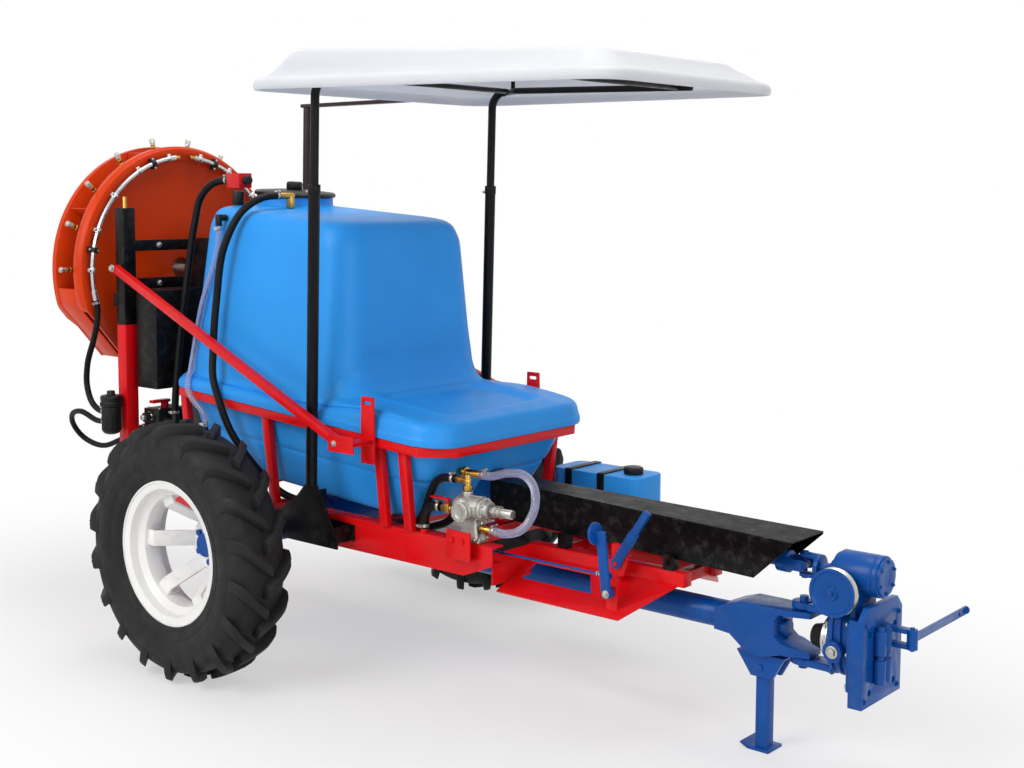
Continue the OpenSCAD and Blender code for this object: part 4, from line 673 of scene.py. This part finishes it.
def make_wheel(side, tyre):
    half, mid = TYRE_HALF, (RIM_R + CARCASS_R) / 2
    prof = [(SEAT_R + .0004, -.046), (SEAT_R + .0004, -.0656), (RIM_R + .0004, -.0716), (RIM_R + .0004, -.077),
            (RIM_R + .010, -.084), (RIM_R + .013, -.0835), (RIM_R + .016, -.0865), (RIM_R + .022, -.088),
            (RIM_R + .040, -.0955), (RIM_R + .043, -.0945), (RIM_R + .046, -.0968), (mid, -half),
            (mid + .018, -.0995), (mid + .021, -.0980), (mid + .024, -.0985), (CARCASS_R - .032, -half + .006),
            (CARCASS_R - .020, -half + .013), (CARCASS_R - .010, -half + .026), (CARCASS_R - .004, -.058),
            (CARCASS_R - .002, -.04), (CARCASS_R - .001, 0)]
    inner = [(RIM_R + .006, .062), (mid, half - .014), (CARCASS_R - .038, half - .02), (CARCASS_R - .02, .034)]
    centre = Vector((SHIFT / 1000, side * WHEEL_Y, AXLE_Z))
    whole = prof + [(r, -y) for r, y in prof[-2::-1]] + inner + [(r, -y) for r, y in inner[::-1]]
    Geo().lathe(whole, centre, Y, 144).obj(tyre + "_carcass", TYRE, tyre, angle=50, stands=True)

    def at(r, y, a):
        return SHIFT / 1000 + r * math.cos(a) / 1000, side * WHEEL_Y + y / 1000, AXLE_Z + r * math.sin(a) / 1000

    lugs = Geo()
    # along each bar, from the middle outwards: offset, foot, top, turn in degrees and half-width in degrees
    wide, foot, top, turn, span = ((-6, 45, 82, 99), (370, 370, 352, 326), (405, 403, 395, 371), (0, 6, 11.5, 14),
                                   (2.0, 2.1, 2.3, 2.3))
    bars = [(q, -90 + 20 * (i + (0 if q > 0 else 0.5))) for i in range(18) for q in (-1, 1)]
    for q, base in bars:
        rings = []
        for t in (k * 0.3 for k in range(11)):
            y, r0, r1 = catmull(wide, t) * q, catmull(foot, t), catmull(top, t)
            a, hd = base + catmull(turn, t), catmull(span, t) * (1 + 0.12 * soft(1 - t))
            rings.append([at(min(r, 404.6), y, math.radians(a + c * hd)) for r, c in (
                (r0, -1.45), (r0, 1.45), (r1 - 3, 1.06), (r1, 0.92), (r1, -0.92), (r1 - 3, -1.06))])
        lugs.rings(rings)
        for t in (2 * 0.3, 5 * 0.3, 8 * 0.3):
            # moulding vents left standing on the bar
            y, r1, a = catmull(wide, t) * q, catmull(top, t), math.radians(base + catmull(turn, t))
            p = Vector(at(r1 - 2, y, a))
            if r1 < 401:
                lugs.cyl(p, p + Vector((math.cos(a), 0, math.sin(a))) * 0.0032, 0.0022, 8, 0.0005)
    # buttress steps between the bars on the sidewall
    for q, base in bars:
        for j, steps in enumerate((((0.318, 0.0974), (0.338, 0.0960)), ((0.312, 0.0974), (0.330, 0.0960)))):
            a = math.radians(base + 16.5 + 3.2 * j)
            d, w = Vector((math.cos(a), 0, math.sin(a))), Vector((-math.sin(a), 0, math.cos(a)))
            lugs.rings([[centre + d * r + Y * (q * y) + w * x + Y * (q * h) for x, h in
                         ((-.004, -.003), (.004, -.003), (.0025, .0022), (-.0025, .0022))] for r, y in steps])
    lugs.obj(tyre + "_lugs", TYRE, tyre, 0.0016, angle=40)


# ---------------------------------------------------------------- canopy

REAR_X, LENGTH, RIM_Z, RIM_FALL = 132, 1291, 1819.96, 23      # the canopy's rim, in mm in the axle layout


def canopy_ring(inset, rear_h, front_h):
    """One outline of the canopy, drawn in by inset, at heights over its rim that differ from rear to front."""
    o = plan(REAR_X + inset, REAR_X + LENGTH - inset, 538 - inset, 437 - inset, 84 - inset * 0.2, 92 - inset * 0.2)
    share = [(x - REAR_X) / LENGTH for x, _ in o]
    return [P(x, y, RIM_Z - RIM_FALL * t + lerp(rear_h, front_h, t)) for (x, y), t in zip(o, share)]


def make_canopy():
    seq = ((230, 132, 86), (170, 129, 83), (118, 126, 80), (106, 123, 77), (90, 110, 66), (62, 72, 50), (36, 38, 36),
           (24, 31, 29.5), (16, 28, 26), (10, 16, 15), (6, 4, 4), (5, 0.6, 0.6), (3, 0, 0), (1, 0.6, 0.6), (-1.4, 6, 6),
           (-2, 12, 12), (-1.2, 20, 19), (0.8, 27, 25.5), (4, 32, 30), (10, 35.5, 33.5), (18, 38, 36), (30, 44, 42),
           (50, 66, 54), (84, 115.5, 72), (90, 122.5, 78), (97, 128, 82.6), (104, 130.6, 84.8), (112, 132, 86),
           (130, 132.9, 87), (180, 135.6, 89.4), (230, 138, 92), (300, 138, 92.4), (360, 138, 92.4))
    Geo().rings([canopy_ring(*q) for q in seq]).obj("canopy_skin", CANOPY, "canopy_shell", angle=40, stands=True)


make_hoses()
make_tank()
make_wheel(-1, "near_tyre")
make_wheel(1, "far_tyre")
make_canopy()


# ---------------------------------------------------------------- fan dressing

PIPE_X, PIPE_R = -858, 418                       # the spray pipes' ring
NOZZLE_R, NOZZLE_X, NOZZLE_STEP = 428, -945.5, 178 / 9      # the nozzles' ring, and the degrees between two nozzles


def fan_point(radius, angle, x=PIPE_X):
    """A point on the fan: radius in mm, angle in degrees up from the near side, x in the axle layout."""
    a = math.radians(angle)
    return Vector(P(x, -radius * math.cos(a), FAN_Z + radius * math.sin(a)))


def make_spray_lines():
    steel, black, brass, tips = Geo(), Geo(), Geo(), Geo()
    nozzles = [1 + NOZZLE_STEP * i for i in range(10)]
    for turn in (lambda a: a, lambda a: 180 - a):
        for lo, hi, n, r in ((-14, 84, 60, 0.0082), (-14, -9, 4, 0.0105), (80, 84, 4, 0.0105)):
            steel.tube([fan_point(PIPE_R, turn(lo + (hi - lo) * k / n)) for k in range(n + 1)], r, 16)
        end = fan_point(PIPE_R, turn(84))
        d = (end - fan_point(PIPE_R, turn(82))).normalized()
        brass.cyl(end, end + d * 0.012, 0.0075, 16, 0.001)
        brass.hex(end + d * 0.010, d, 0.0085, 0.009)
        for at, clip in [(a, False) for a in nozzles[:5]] + [(11, True), (70, True)]:
            a = turn(at)
            c = fan_point(PIPE_R, a)
            out, t = (fan_point(430, a) - c).normalized(), (fan_point(PIPE_R, a + 1) - c).normalized()
            if clip:
                # rubber-lined pipe clip on its stand-off
                black.cyl(c - t * 0.009, c + t * 0.009, 0.0135, 20, 0.002)
                black.box(-.010, .010, -.020, .020, -.013, .002,
                          Matrix.Translation(c) @ Matrix((t, out, X)).transposed().to_4x4())
                for q in (-1, 1):
                    tips.hex(c + out * 0.0165 * q + X * 0.001, X, 0.0048, 0.005)
            else:
                # saddle tee with its nut and the take-off through the disc
                steel.cyl(c - t * 0.010, c + t * 0.010, 0.0115, 20, 0.0015)
                steel.cyl(c - X * 0.013, c + X * 0.011, 0.0075, 16, 0.001)
                tips.hex(c + X * 0.010, X, 0.0062, 0.006)
                steel.hex(c + out * 0.006, out, 0.0085, 0.012)
    for a in nozzles:
        elbow, out = fan_point(NOZZLE_R, a, NOZZLE_X), (fan_point(500, a) - fan_point(400, a)).normalized()
        brass.cyl(fan_point(NOZZLE_R, a, -889), elbow, 0.0062, 16, 0.0006)
        brass.hex(fan_point(NOZZLE_R, a, -900), -X, 0.0092, 0.012)
        for g, t0, t1, r, segs, chamfer in (
                (brass, -.008, .016, .0080, 16, .001), (brass, .026, .040, .0072, 16, .0008),
                (tips, .042, .050, .0088, 20, .0008), (tips, .0662, .0678, .0052, 16, .0006),
                (tips, -.008, -.0095, .006, 16, 0)):
            g.cyl(elbow + out * t0, elbow + out * t1, r, segs, chamfer)
        for g, t, r, h in ((brass, .016, .0098, .010), (brass, .034, .0092, .008), (tips, .050, .0106, .0165)):
            g.hex(elbow + out * t, out, r, h)
    steel.obj("spray_pipes", STAINLESS, "spray_manifolds", 0.0004, 1, stands=True)
    black.obj("spray_pipe_clips", BLACKP, "spray_manifolds", 0.0006)
    brass.obj("nozzle_bodies", BRASS, "spray_nozzles", 0.0004, 1, stands=True)
    tips.obj("nozzle_caps", ZINC, "spray_nozzles", 0.0003, 1)


# ---------------------------------------------------------------- hitch, pump and controls

def make_pulley():
    r, c = 0.063, P(1890, -68, 495)
    Geo().lathe([(0.0, .002), (.016, .002), (.018, .004), (r - .013, .004), (r - .0125, .010), (r - .012, .0165),
                 (r - .001, .0228), (r, .0236), (r, .0268), (r - .0012, .0278), (r - .0075, .0278), (r - .009, .0262),
                 (r - .0105, .0242), (.024, .0236), (.019, .0240), (.017, .0262), (.0160, .0294), (.0150, .0300),
                 (0.0, .0300)], c, -Y, closed=False).obj("pulley_face", BLUE, "belt_pulley", angle=30, stands=True)
    back = Geo().lathe([(.012, 0), (r - .001, 0), (r, .0008), (r, .0044), (r - .001, .0052), (r - .0118, .0110),
                        (r - .0118, .0120), (.012, .0120)], c, -Y)
    back.cyl(c, P(1890, -38.4, 495), 0.0098, 32, 0.0006)
    back.obj("pulley_groove", ZINC, "pulley", angle=30)
    Geo().bolt(P(1890, -97.6, 495), -Y, 0.0078, 0.0055).obj("pulley_bolt", BLUE, "pulley", 0.0004, 1)


def bolts(name, mat, body, r, places):
    """Hex heads on washers: places are (x, y, z) in the axle layout with the direction they point."""
    g = Geo()
    for at, axis in places:
        g.bolt(P(*at), axis, r)
    g.obj(name, mat, body, 0.0004, 1)


def loop(c, u, v, a, b, r, n=5):
    """Rounded rectangle of half-sizes a and b about c, along u and v, in mm in the axle layout."""
    out = []
    for su, sv, a0 in ((1, 1, 0), (-1, 1, 90), (-1, -1, 180), (1, -1, 270)):
        for t in (math.radians(a0 + 90 * k / n) for k in range(n + 1)):
            out.append(P(*(Vector(c) + u * (su * (a - r) + r * math.cos(t)) + v * (sv * (b - r) + r * math.sin(t)))))
    return out


def make_hitch():
    g, steel, zinc = Geo(), Geo(), Geo()
    # ribbed barrel of the gear case, narrowing behind its flange
    g.rings([loop((x, 0, (lo + hi) / 2), Y, Z, hw, (hi - lo) / 2, r) for x, hw, lo, hi, r in (
        (1853, 46, 302, 402, 44), (1857, 52, 290, 416, 50), (1862, 57, 272, 440, 52), (1868, 60, 264, 448, 52),
        (1877, 60, 262, 450, 50), (1879, 54, 268, 444, 48), (1889, 53, 269, 443, 47), (1891, 59.5, 262, 450, 50),
        (1899, 59.5, 262, 450, 50), (1902, 52, 269, 443, 46), (1915, 50, 271, 441, 42), (1921, 54, 264, 448, 36),
        (1926, 58, 258, 452, 30))])
    # flange with its raised ear, in one outline
    g.prism(mm([(-75, 242), (-69, 236), (69, 236), (75, 242), (75, 416), (60, 434), (60, 460), (50, 470), (-50, 470),
                (-60, 460), (-60, 434), (-75, 416)]), P(1925, 0, 0), Y, Z, 0.015)
    # waisted neck up to the bevel housing
    g.rings([loop((x, 0, z), X, Y, a, b, 18) for x, z, a, b in (
        (1900, 436, 36, 50), (1904, 452, 36, 42), (1909, 470, 37, 36), (1909, 486, 39, 38), (1909, 502, 41, 44))])
    g.lathe(mm([(0, 0), (44, 0), (47, 1.5), (48, 4), (48, 10), (54, 13), (55, 16), (55, 108), (53.5, 110), (53.5, 113),
                (55, 115), (55, 126), (54, 128), (50, 128), (50, 133), (48.5, 135), (22, 134), (20, 132.6),
                (0, 132.6)]),
            P(1862, 0, 535), X, closed=False)
    g.lathe(mm([(14.5, 0), (25, 0), (28, 2), (30, 5), (30, 18), (14.5, 18)]), P(1846, 0, 531), X, 48)
    for z in (413, 263):
        g.lathe(mm([(12.1, 0), (29, 0), (32, 1.6), (33, 4.5), (33, 15.5), (32, 18.4), (29, 20), (12.1, 20)]),
                P(1765, 0, z), Z, 64)
        g.rings([loop((x, 0, z + 10), Y, Z, hw, 10, 6) for x, hw in
                 ((1781, 28), (1792, 32.5), (1846, 32.5), (1858, 37), (1870, 46))])
    for s in (-1, 1):
        g.lathe(mm([(0, 0), (28, 0), (28, 12), (26.5, 15), (25, 16), (17, 16), (16, 14.8), (0, 14.8)]),
                P(1885, s * 60, 335), Y * s, 48, closed=False)
        zinc.bolt(P(1885, s * 74.8, 335), Y * s, 0.0125, 0.0085)
    g.lathe(mm([(10.1, 0), (20, 0), (20, 33), (18.5, 36), (10.1, 36)]), P(1890, -30, 495), -Y, 48)
    steel.lathe(mm([(39, 0), (54, 0), (56, 1.5), (56, 8), (54.5, 10), (54.5, 12), (56, 13.5), (56, 17), (54, 19),
                    (39, 19)]), P(1840, 0, 352), X, 72)
    for a in (math.pi / 4 * (k + 0.5) for k in range(8)):
        zinc.heads(-X, (1841.5, 48 * math.cos(a), 352 + 48 * math.sin(a), 4.2, 3))
    zinc.cyl(P(1906, -40, 446), P(1906, -40, 460), 0.0055, 20, 0.001)
    g.obj("hitch_gearcase_form", BLUE, "hitch_gearcase", 0.0022, 3, stands=True)
    steel.obj("gearcase_bearing_ring", STAINLESS, "hitch_head", 0.0005)
    zinc.obj("gearcase_bolts", ZINC, "hitch_head", 0.0004, 1)
    folds = [(10, 0), (22, 0)]
    for r, t in ((24.2 + 2.2 * k, 7.8 * k) for k in range(5)):
        folds += [(r + 3, 2 + t), (r + 4.4, 3.6 + t), (r + 3, 5.2 + t), (r - 0.5, 7 + t), (r - 0.5, 8.6 + t)]
    folds += [(38, 40.6), (38, 43.5), (10, 43.5)]
    Geo().lathe(mm(folds), P(1796, 0, 348), X, 72).obj("hitch_boot_folds", BELLOWS, "hitch_boot", angle=50, stands=True)


def make_pump():
    g, zinc, brass, shaft = Geo(), Geo(), Geo(), P(796, -300, 600)
    g.lathe(mm([(0, 0), (18, 0), (20, 1.5), (27, 2), (28, 4), (28, 9), (33, 12), (35, 16), (35, 36), (32.5, 39),
                (32.5, 58), (35, 61), (35, 90), (33, 92.5), (33, 97), (35, 99.5), (35, 107), (33, 109), (27, 110),
                (25, 113), (25, 126), (23.5, 128), (11.3, 128), (11.3, 105), (0, 105)]), shaft, X, 72,
            closed=False)
    for k in range(10):
        g.box(0.014, 0.095, -0.0022, 0.0022, 0.028, 0.0365, spin(shaft, math.pi / 5 * k, "X"))
    g.lathe(mm([(0, 3.5), (14, 3.5), (17, 0.5), (29, 0), (31, 2), (31, 6), (29, 7.5), (25, 9), (25, 20), (27, 22),
                (27, 26), (25, 28), (25, 86), (27, 88), (27, 92), (25, 94), (25, 105), (29, 106.5), (31, 108),
                (31, 112), (29, 114), (17, 113.5), (14, 110.5), (0, 110.5)]), P(850, -358, 593), Y, 64, closed=False)
    g.rings([loop((850, -300, z), X, Y, a, b, 8) for z, a, b in
             ((501, 47, 23.5), (509, 47, 23.5), (513, 44, 22.5), (520, 38, 20), (540, 30, 16), (575, 27, 15))])
    for outline in ([(-40, 510), (-26, 510), (-12, 575), (-22, 575)], [(26, 510), (40, 510), (22, 575), (12, 575)]):
        g.prism(mm(outline), P(850, -297.5, 0), X, Z, 0.005)
    g.cyl(P(835, -300, 622), P(835, -300, 646), 0.0155, 40, 0.0015)
    for a in (math.pi / 3 * (k + 0.5) for k in range(6)):
        for y, axis in ((-358, -Y), (-244, Y)):
            zinc.heads(axis, (850 + 25 * math.cos(a), y, 593 + 25 * math.sin(a), 4, 3.6))
        zinc.heads(X, (905.5, -300 + 30 * math.cos(a), 600 + 30 * math.sin(a), 3.6, 5))
    zinc.heads(Z, *((x, y, 509, 5.5, 5.5) for x in (820, 880) for y in (-322, -278)))
    # spring rings that hold the shaft's guard, and the hexes of the unions
    for x, lean in ((944, 0.20), (962, -0.16)):
        zinc.tube([P(x + 17 * lean * math.sin(t), -300 + 17 * math.cos(t), 600 + 17 * math.sin(t))
                   for t in (2 * math.pi * k / 36 for k in range(37))], 0.0013, 8)
    brass.heads(Z, (835, -300, 650, 15.5, 12), (835, -300, 668, 12.5, 14))
    brass.heads(-X, (812, -300, 676, 12, 12), (796, -312, 588, 14, 10), (756, -312, 588, 13.5, 9))
    brass.heads(X, (891, -300, 542, 15, 11), (731, -200, 674, 18, 12))
    g.obj("pump_casting", CAST, "pump_body", 0.0010, stands=True)
    zinc.obj("pump_bolts", ZINC, "pump_body", 0.0003, 1)
    brass.obj("pump_unions", BRASS, "pump_fittings", 0.0004, 1)


def make_filter():
    bowl, head, foot, seam = Geo(), Geo(), P(-760, -418, 650), P(-760, -418, 750)
    bowl.lathe(mm([(0, 0), (14, 0), (24, 3), (31, 9), (32.5, 14), (33.5, 92), (34, 98), (30, 100), (0, 100)]),
               foot, Z, 64, closed=False)
    for k in range(20):
        bowl.box(0.030, 0.0345, -0.0018, 0.0018, 0.014, 0.096, spin(foot, math.pi / 10 * k, "Z"))
    head.lathe(mm([(0, 0), (36, 0), (38, 2), (38, 16), (36.5, 18), (36.5, 21), (38, 23), (38, 36), (34, 40), (20, 41),
                   (15, 43), (14, 56), (0, 56)]), seam, Z, 64, closed=False)
    for k in range(24):
        head.box(0.036, 0.0392, -0.0020, 0.0020, 0.002, 0.016, spin(seam, math.pi / 12 * k, "Z"))
    for z, r in ((728, 0.012), (690, 0.011)):
        head.cyl(P(-795.7, -418, z), P(-784, -418, z), r, 24, 0.001)
    head.block(-772, -748, -382, -375.3, 755, 785)
    head.prism(mm([(-14, 760), (14, 760), (10, 780), (-10, 780)]), P(-760, -375.6, 0), X, Z, 0.004)
    bowl.obj("filter_bowl", BLACKP, "suction_filter", 0.0006, stands=True)
    head.obj("filter_head", BLACKP, "suction_filter", 0.0006)


def make_controls():
    teeth, zinc = Geo(), Geo()
    lean = spin(P(1262, 0, 476), math.radians(33), "Y")
    for k in range(9):
        teeth.box(-0.0168, -0.0135, -0.1575, -0.1505, 0.024 + 0.0095 * k, 0.029 + 0.0095 * k, lean)
    teeth.obj("hand_lever_teeth", BLUE, "hand_lever", 0.0008)
    zinc.cyl(P(1264, -238, 463.6), P(1289, -238, 463.6), 0.0060, 20, 0.001)
    zinc.heads(-X, (1262, -238, 463.6, 7.2, 6))
    zinc.obj("brake_rod_clevis", ZINC, "brake_rod", 0.0004, 1)
    Geo().bolt(P(1304, -262, 418), -Y, 0.0085, 0.006).obj("pedal_pivot_bolt", ZINC, "brake_pedal", 0.0004, 1)


def make_small_parts():
    ribs, zinc = Geo(), Geo()
    pts = [v.co for v in NODES["rinse_tank_cap"].data.vertices]
    lo, hi = (Vector([pick(q[k] for q in pts) for k in range(3)]) for pick in (min, max))
    c, r = (lo + hi) / 2, (hi.x - lo.x) / 2
    for k in range(24):
        ribs.box(r - 0.002, r + 0.0012, -0.0020, 0.0020, lo.z + 0.004, hi.z - 0.004,
                 spin((c.x, c.y, 0), math.pi / 12 * k, "Z"))
    ribs.obj("rinse_cap_ribs", BLACKP, "rinse_tank_cap", 0.0005)
    # unions and nuts of the control block
    zinc.heads(-Y, *((-643, y, z, r, 10) for z in (665, 715) for y, r in ((-362, 12), (-334, 19.5))))
    zinc.heads(-X, (-706, -300, 662, 13, 9))
    zinc.heads(X, (-596, -238, 655, 15, 10))
    zinc.heads(Z, *((x, y, 742, 4.8, 4.5) for x in (-674, -612) for y in (-318, -226)))
    zinc.obj("control_block_nuts", ZINC, "control_valves", 0.0004, 1)


# ---------------------------------------------------------------- canopy posts

LEAN = math.radians(1.56)
UP = (math.sin(LEAN), 0, math.cos(LEAN))         # the axis of the posts and their sleeves
POST, BEND, FALL = 1188, 56, 29 / 920            # a post's straight length, its bend's radius and the rails' slope


def rail_y(x):
    """Half the distance between the rails at x, past their bend inwards."""
    return 352 - 26 * (x - 380) / 800


def up(foot, t):
    """A point t mm up the leaning axis from foot, which is in mm in the axle layout."""
    return Vector(P(foot[0] + t * math.sin(LEAN), foot[1], foot[2] + t * math.cos(LEAN)))


def make_canopy_posts():
    """Round posts in their sleeves on gusseted feet, each bent forward at its top into the rail under the canopy."""
    sleeve, post, aged, rear, zinc = Geo(), Geo(), Geo(), Geo(), Geo()
    x0, z0 = 286 + POST * math.sin(LEAN), 610 + POST * math.cos(LEAN)
    for s in (-1, 1):
        foot = (286, s * 412, 610)
        sleeve.lathe([(0.0142, -0.006), (0.0180, -0.006), (0.0180, 0.896), (0.0196, 0.8975), (0.0196, 0.9245),
                      (0.0182, 0.926), (0.0146, 0.926), (0.0142, 0.924)], P(*foot), UP, 40)
        bend = (math.pi / 2 * k / 9 for k in range(1, 10))
        post.tube([up(foot, t) for t in (700, 880, 1000, POST)]
                  + [P(x0 + BEND - BEND * math.cos(a), s * 412, z0 + BEND * math.sin(a)) for a in bend], 0.0135, 28)

        def rail(x):
            y = rail_y(x) if x > 470 else 412 - 60 * min(max((x - 400) / 70, 0), 1)
            return P(x, s * y, z0 + BEND - FALL * (x - x0 - BEND))

        post.tube([rail(x) for x in (x0 + 54, x0 + 70, 395, 405, 425, 445, 462, 476, 500, 800, 1180)], 0.0105, 20)
        for x, top in ((439, 1932.2), (1119, 1885.6)):
            q = rail(x)
            post.cyl(q, (q[0], q[1], top / 1000), 0.007, 20, 0.001)
        # gusseted foot on the side rail
        sleeve.prism(mm([(150, 420), (402, 420), (402, 446), (338, 566), (312, 609), (262, 609), (222, 566),
                         (150, 520)]), P(0, s * 412 + 3, 0), X, Z, 0.006)
        sleeve.prism(mm([(160, 430), (390, 430), (390, 480), (160, 492)]), P(0, s * 328.3 + 3, 0), X, Z, 0.006)
        for x, z in ((176, 480), (262, 580), (372, 480)):
            sleeve.block(x, x + 6, *sorted((s * 408.7, s * 331.6)), 430, z)
        knob = up(foot, 905)
        zinc.bolt(knob - X * 0.0185, -X, 0.0070, 0.006)
        zinc.cyl(knob - X * 0.024, knob - X * 0.034, 0.0042, 16, 0.0006)
    for x in (432, 1132):
        y, z = rail_y(x), z0 + BEND - FALL * (x - 374)
        post.tube([P(x, -y, z), P(x, y, z)], 0.0085, 16)
    foot = (-530, 296, 501.2)
    aged.lathe([(0.0172, 0), (0.0205, 0), (0.0205, 0.979), (0.0195, 0.980), (0.0176, 0.980), (0.0172, 0.979)],
               P(*foot), UP, 40)
    rear.cyl(up(foot, 790), up(foot, 1330), 0.0165, 40, 0.0015)
    rear.block(-516, 129.5, 279, 313, 1829, 1842)
    sleeve.obj("canopy_sleeves_form", BLACK, "canopy_sleeves", 0.0008, stands=True)
    aged.obj("rear_sleeve_form", BROWN, "canopy_sleeves", 0.0008)
    post.obj("canopy_posts_form", BLACK, "canopy_posts", 0.0006, stands=True)
    rear.obj("rear_post_form", BROWN, "canopy_posts", 0.0008)
    zinc.obj("canopy_post_knobs", ZINC, "canopy_sleeves", 0.0004, 1)


SIDES = (-1, 1)
make_spray_lines()
make_pulley()
bolts("hitch_flange_bolts", ZINC, "hitch_head", 0.006, [((1925, y, z), -X) for y in (-66, 66) for z in (250, 334, 414)])
bolts("bevel_case_bolts", BLUE, "hitch_head", 0.0045, [((1997, 41 * math.cos(a), 535 + 41 * math.sin(a)), X)
                                                       for a in (0.4, 1.45, 2.5, 3.55, 4.6, 5.65)])
bolts("hitch_corner_bolts", BLUE, "hitch_head", 0.006, [((1988, y, z), X) for y in (-95, 92) for z in (232, 428)])
bolts("pump_bracket_bolts", ZINC, "chassis", 0.0055, [((x, y, 512.5), Z) for x in (808.5, 894) for y in (-318, -282)])
bolts("strut_bolts", ZINC, "chassis", 0.010, [((-750, s * 408.5, 1243), Y * s) for s in SIDES])
bolts("stay_lug_bolts", ZINC, "chassis", 0.0075, [((466, s * 484.5, 766), Y * s) for s in SIDES])
bolts("crossbar_bolts", ZINC, "chassis", 0.0085, [((-729.5, s * 220, z), X) for s in SIDES for z in (1184, 1321)])
bolts("foot_plate_bolts", BLACK, "chassis", 0.008, [((x, s * 331.9, z), Y * s) for s in SIDES for x in (205, 345)
                                                    for z in (448, 470)])
bolts("case_bolts", ZINC, "chassis", 0.006, [((-700.2, y, z), -X) for y, z in (
    (-70, 1300), (85, 1300), (-80, 900), (95, 900), (-80, 620), (95, 620))])
make_canopy_posts()
make_hitch()
make_pump()
make_filter()
make_controls()
make_small_parts()

# ---------------------------------------------------------------- CAD nodes that keep their form

# material and width of the rounded edges, in mm
LOOKS = {
    "axle_housing": (BLUE, 2.0), "chassis_rails": (RED, 1.5), "footplates": (RED, 1.0), "drawbar_tube": (BLUE, 0.8),
    "drawbar_fork": (BLUE, 2.5), "ring_frame": (RED, 2.0), "ring_posts": (RED, 1.5), "lift_lugs": (RED, 1.2),
    "tank_lid": (BLACKP, 1.0), "tank_fittings": (BLACKP, 0.8), "rinse_tank": (TANK, 3.0),
    "rinse_tank_cap": (BLACKP, 1.0), "rinse_tank_strap": (BLACK, 0.6), "driveline_shield": (SHIELD, 0.7),
    "pto_shaft": (BLUE, 0.8), "input_yoke": (BLUE, 1.5), "pump_fittings": (BRASS, 0.6), "pump_shaft": (ZINC, 0.5),
    "pump_valve_handle": (REDP, 1.0), "fan_mast_frame": (BLACK, 1.5), "mast_struts": (RED, 1.2),
    "fan_drive_case": (BLACK, 1.5), "fan_front_disc": (ORANGE, 0.8), "fan_rear_ring": (ORANGE, 0.8),
    "fan_bridges": (ORANGE, 0.6), "fan_guard": (BLACK, 0.6), "fan_impeller": (CAST, 0.8),
    "control_valves": (BLACKP, 1.5), "control_valve_handle": (REDP, 1.2), "brake_pedal": (BLUE, 1.0),
    "brake_rod": (BLUE, 0.4), "hand_lever": (BLUE, 1.5), "hand_lever_quadrant": (RED, 0.6), "hitch_plate": (BLUE, 1.2),
    "hitch_arm": (BLUE, 1.0), "support_leg": (BLUE, 1.5), "near_rim": (WHITE, 0.8), "far_rim": (WHITE, 0.8),
    "near_hub": (BLUE, 1.0), "far_hub": (BLUE, 1.0),
}
RULES = {
    "tank_fittings": [(REDP, lambda x, y, z: -352 < x < -282 and z > 1520),
                      (BRASS, lambda x, y, z: -140 < x < -105 and y > -174 and z > 1400)],
    "fan_mast_frame": [(RED, lambda x, y, z: z < 1040.1), (BRASS, lambda x, y, z: z > 1456.5)],
    "hitch_plate": [(ZINC, lambda x, y, z: x < 1971 and abs(abs(y) - 62) < 16)],
}
for n, (mat, w) in LOOKS.items():
    soften(n, mat, w / 1000, RULES.get(n, ()))
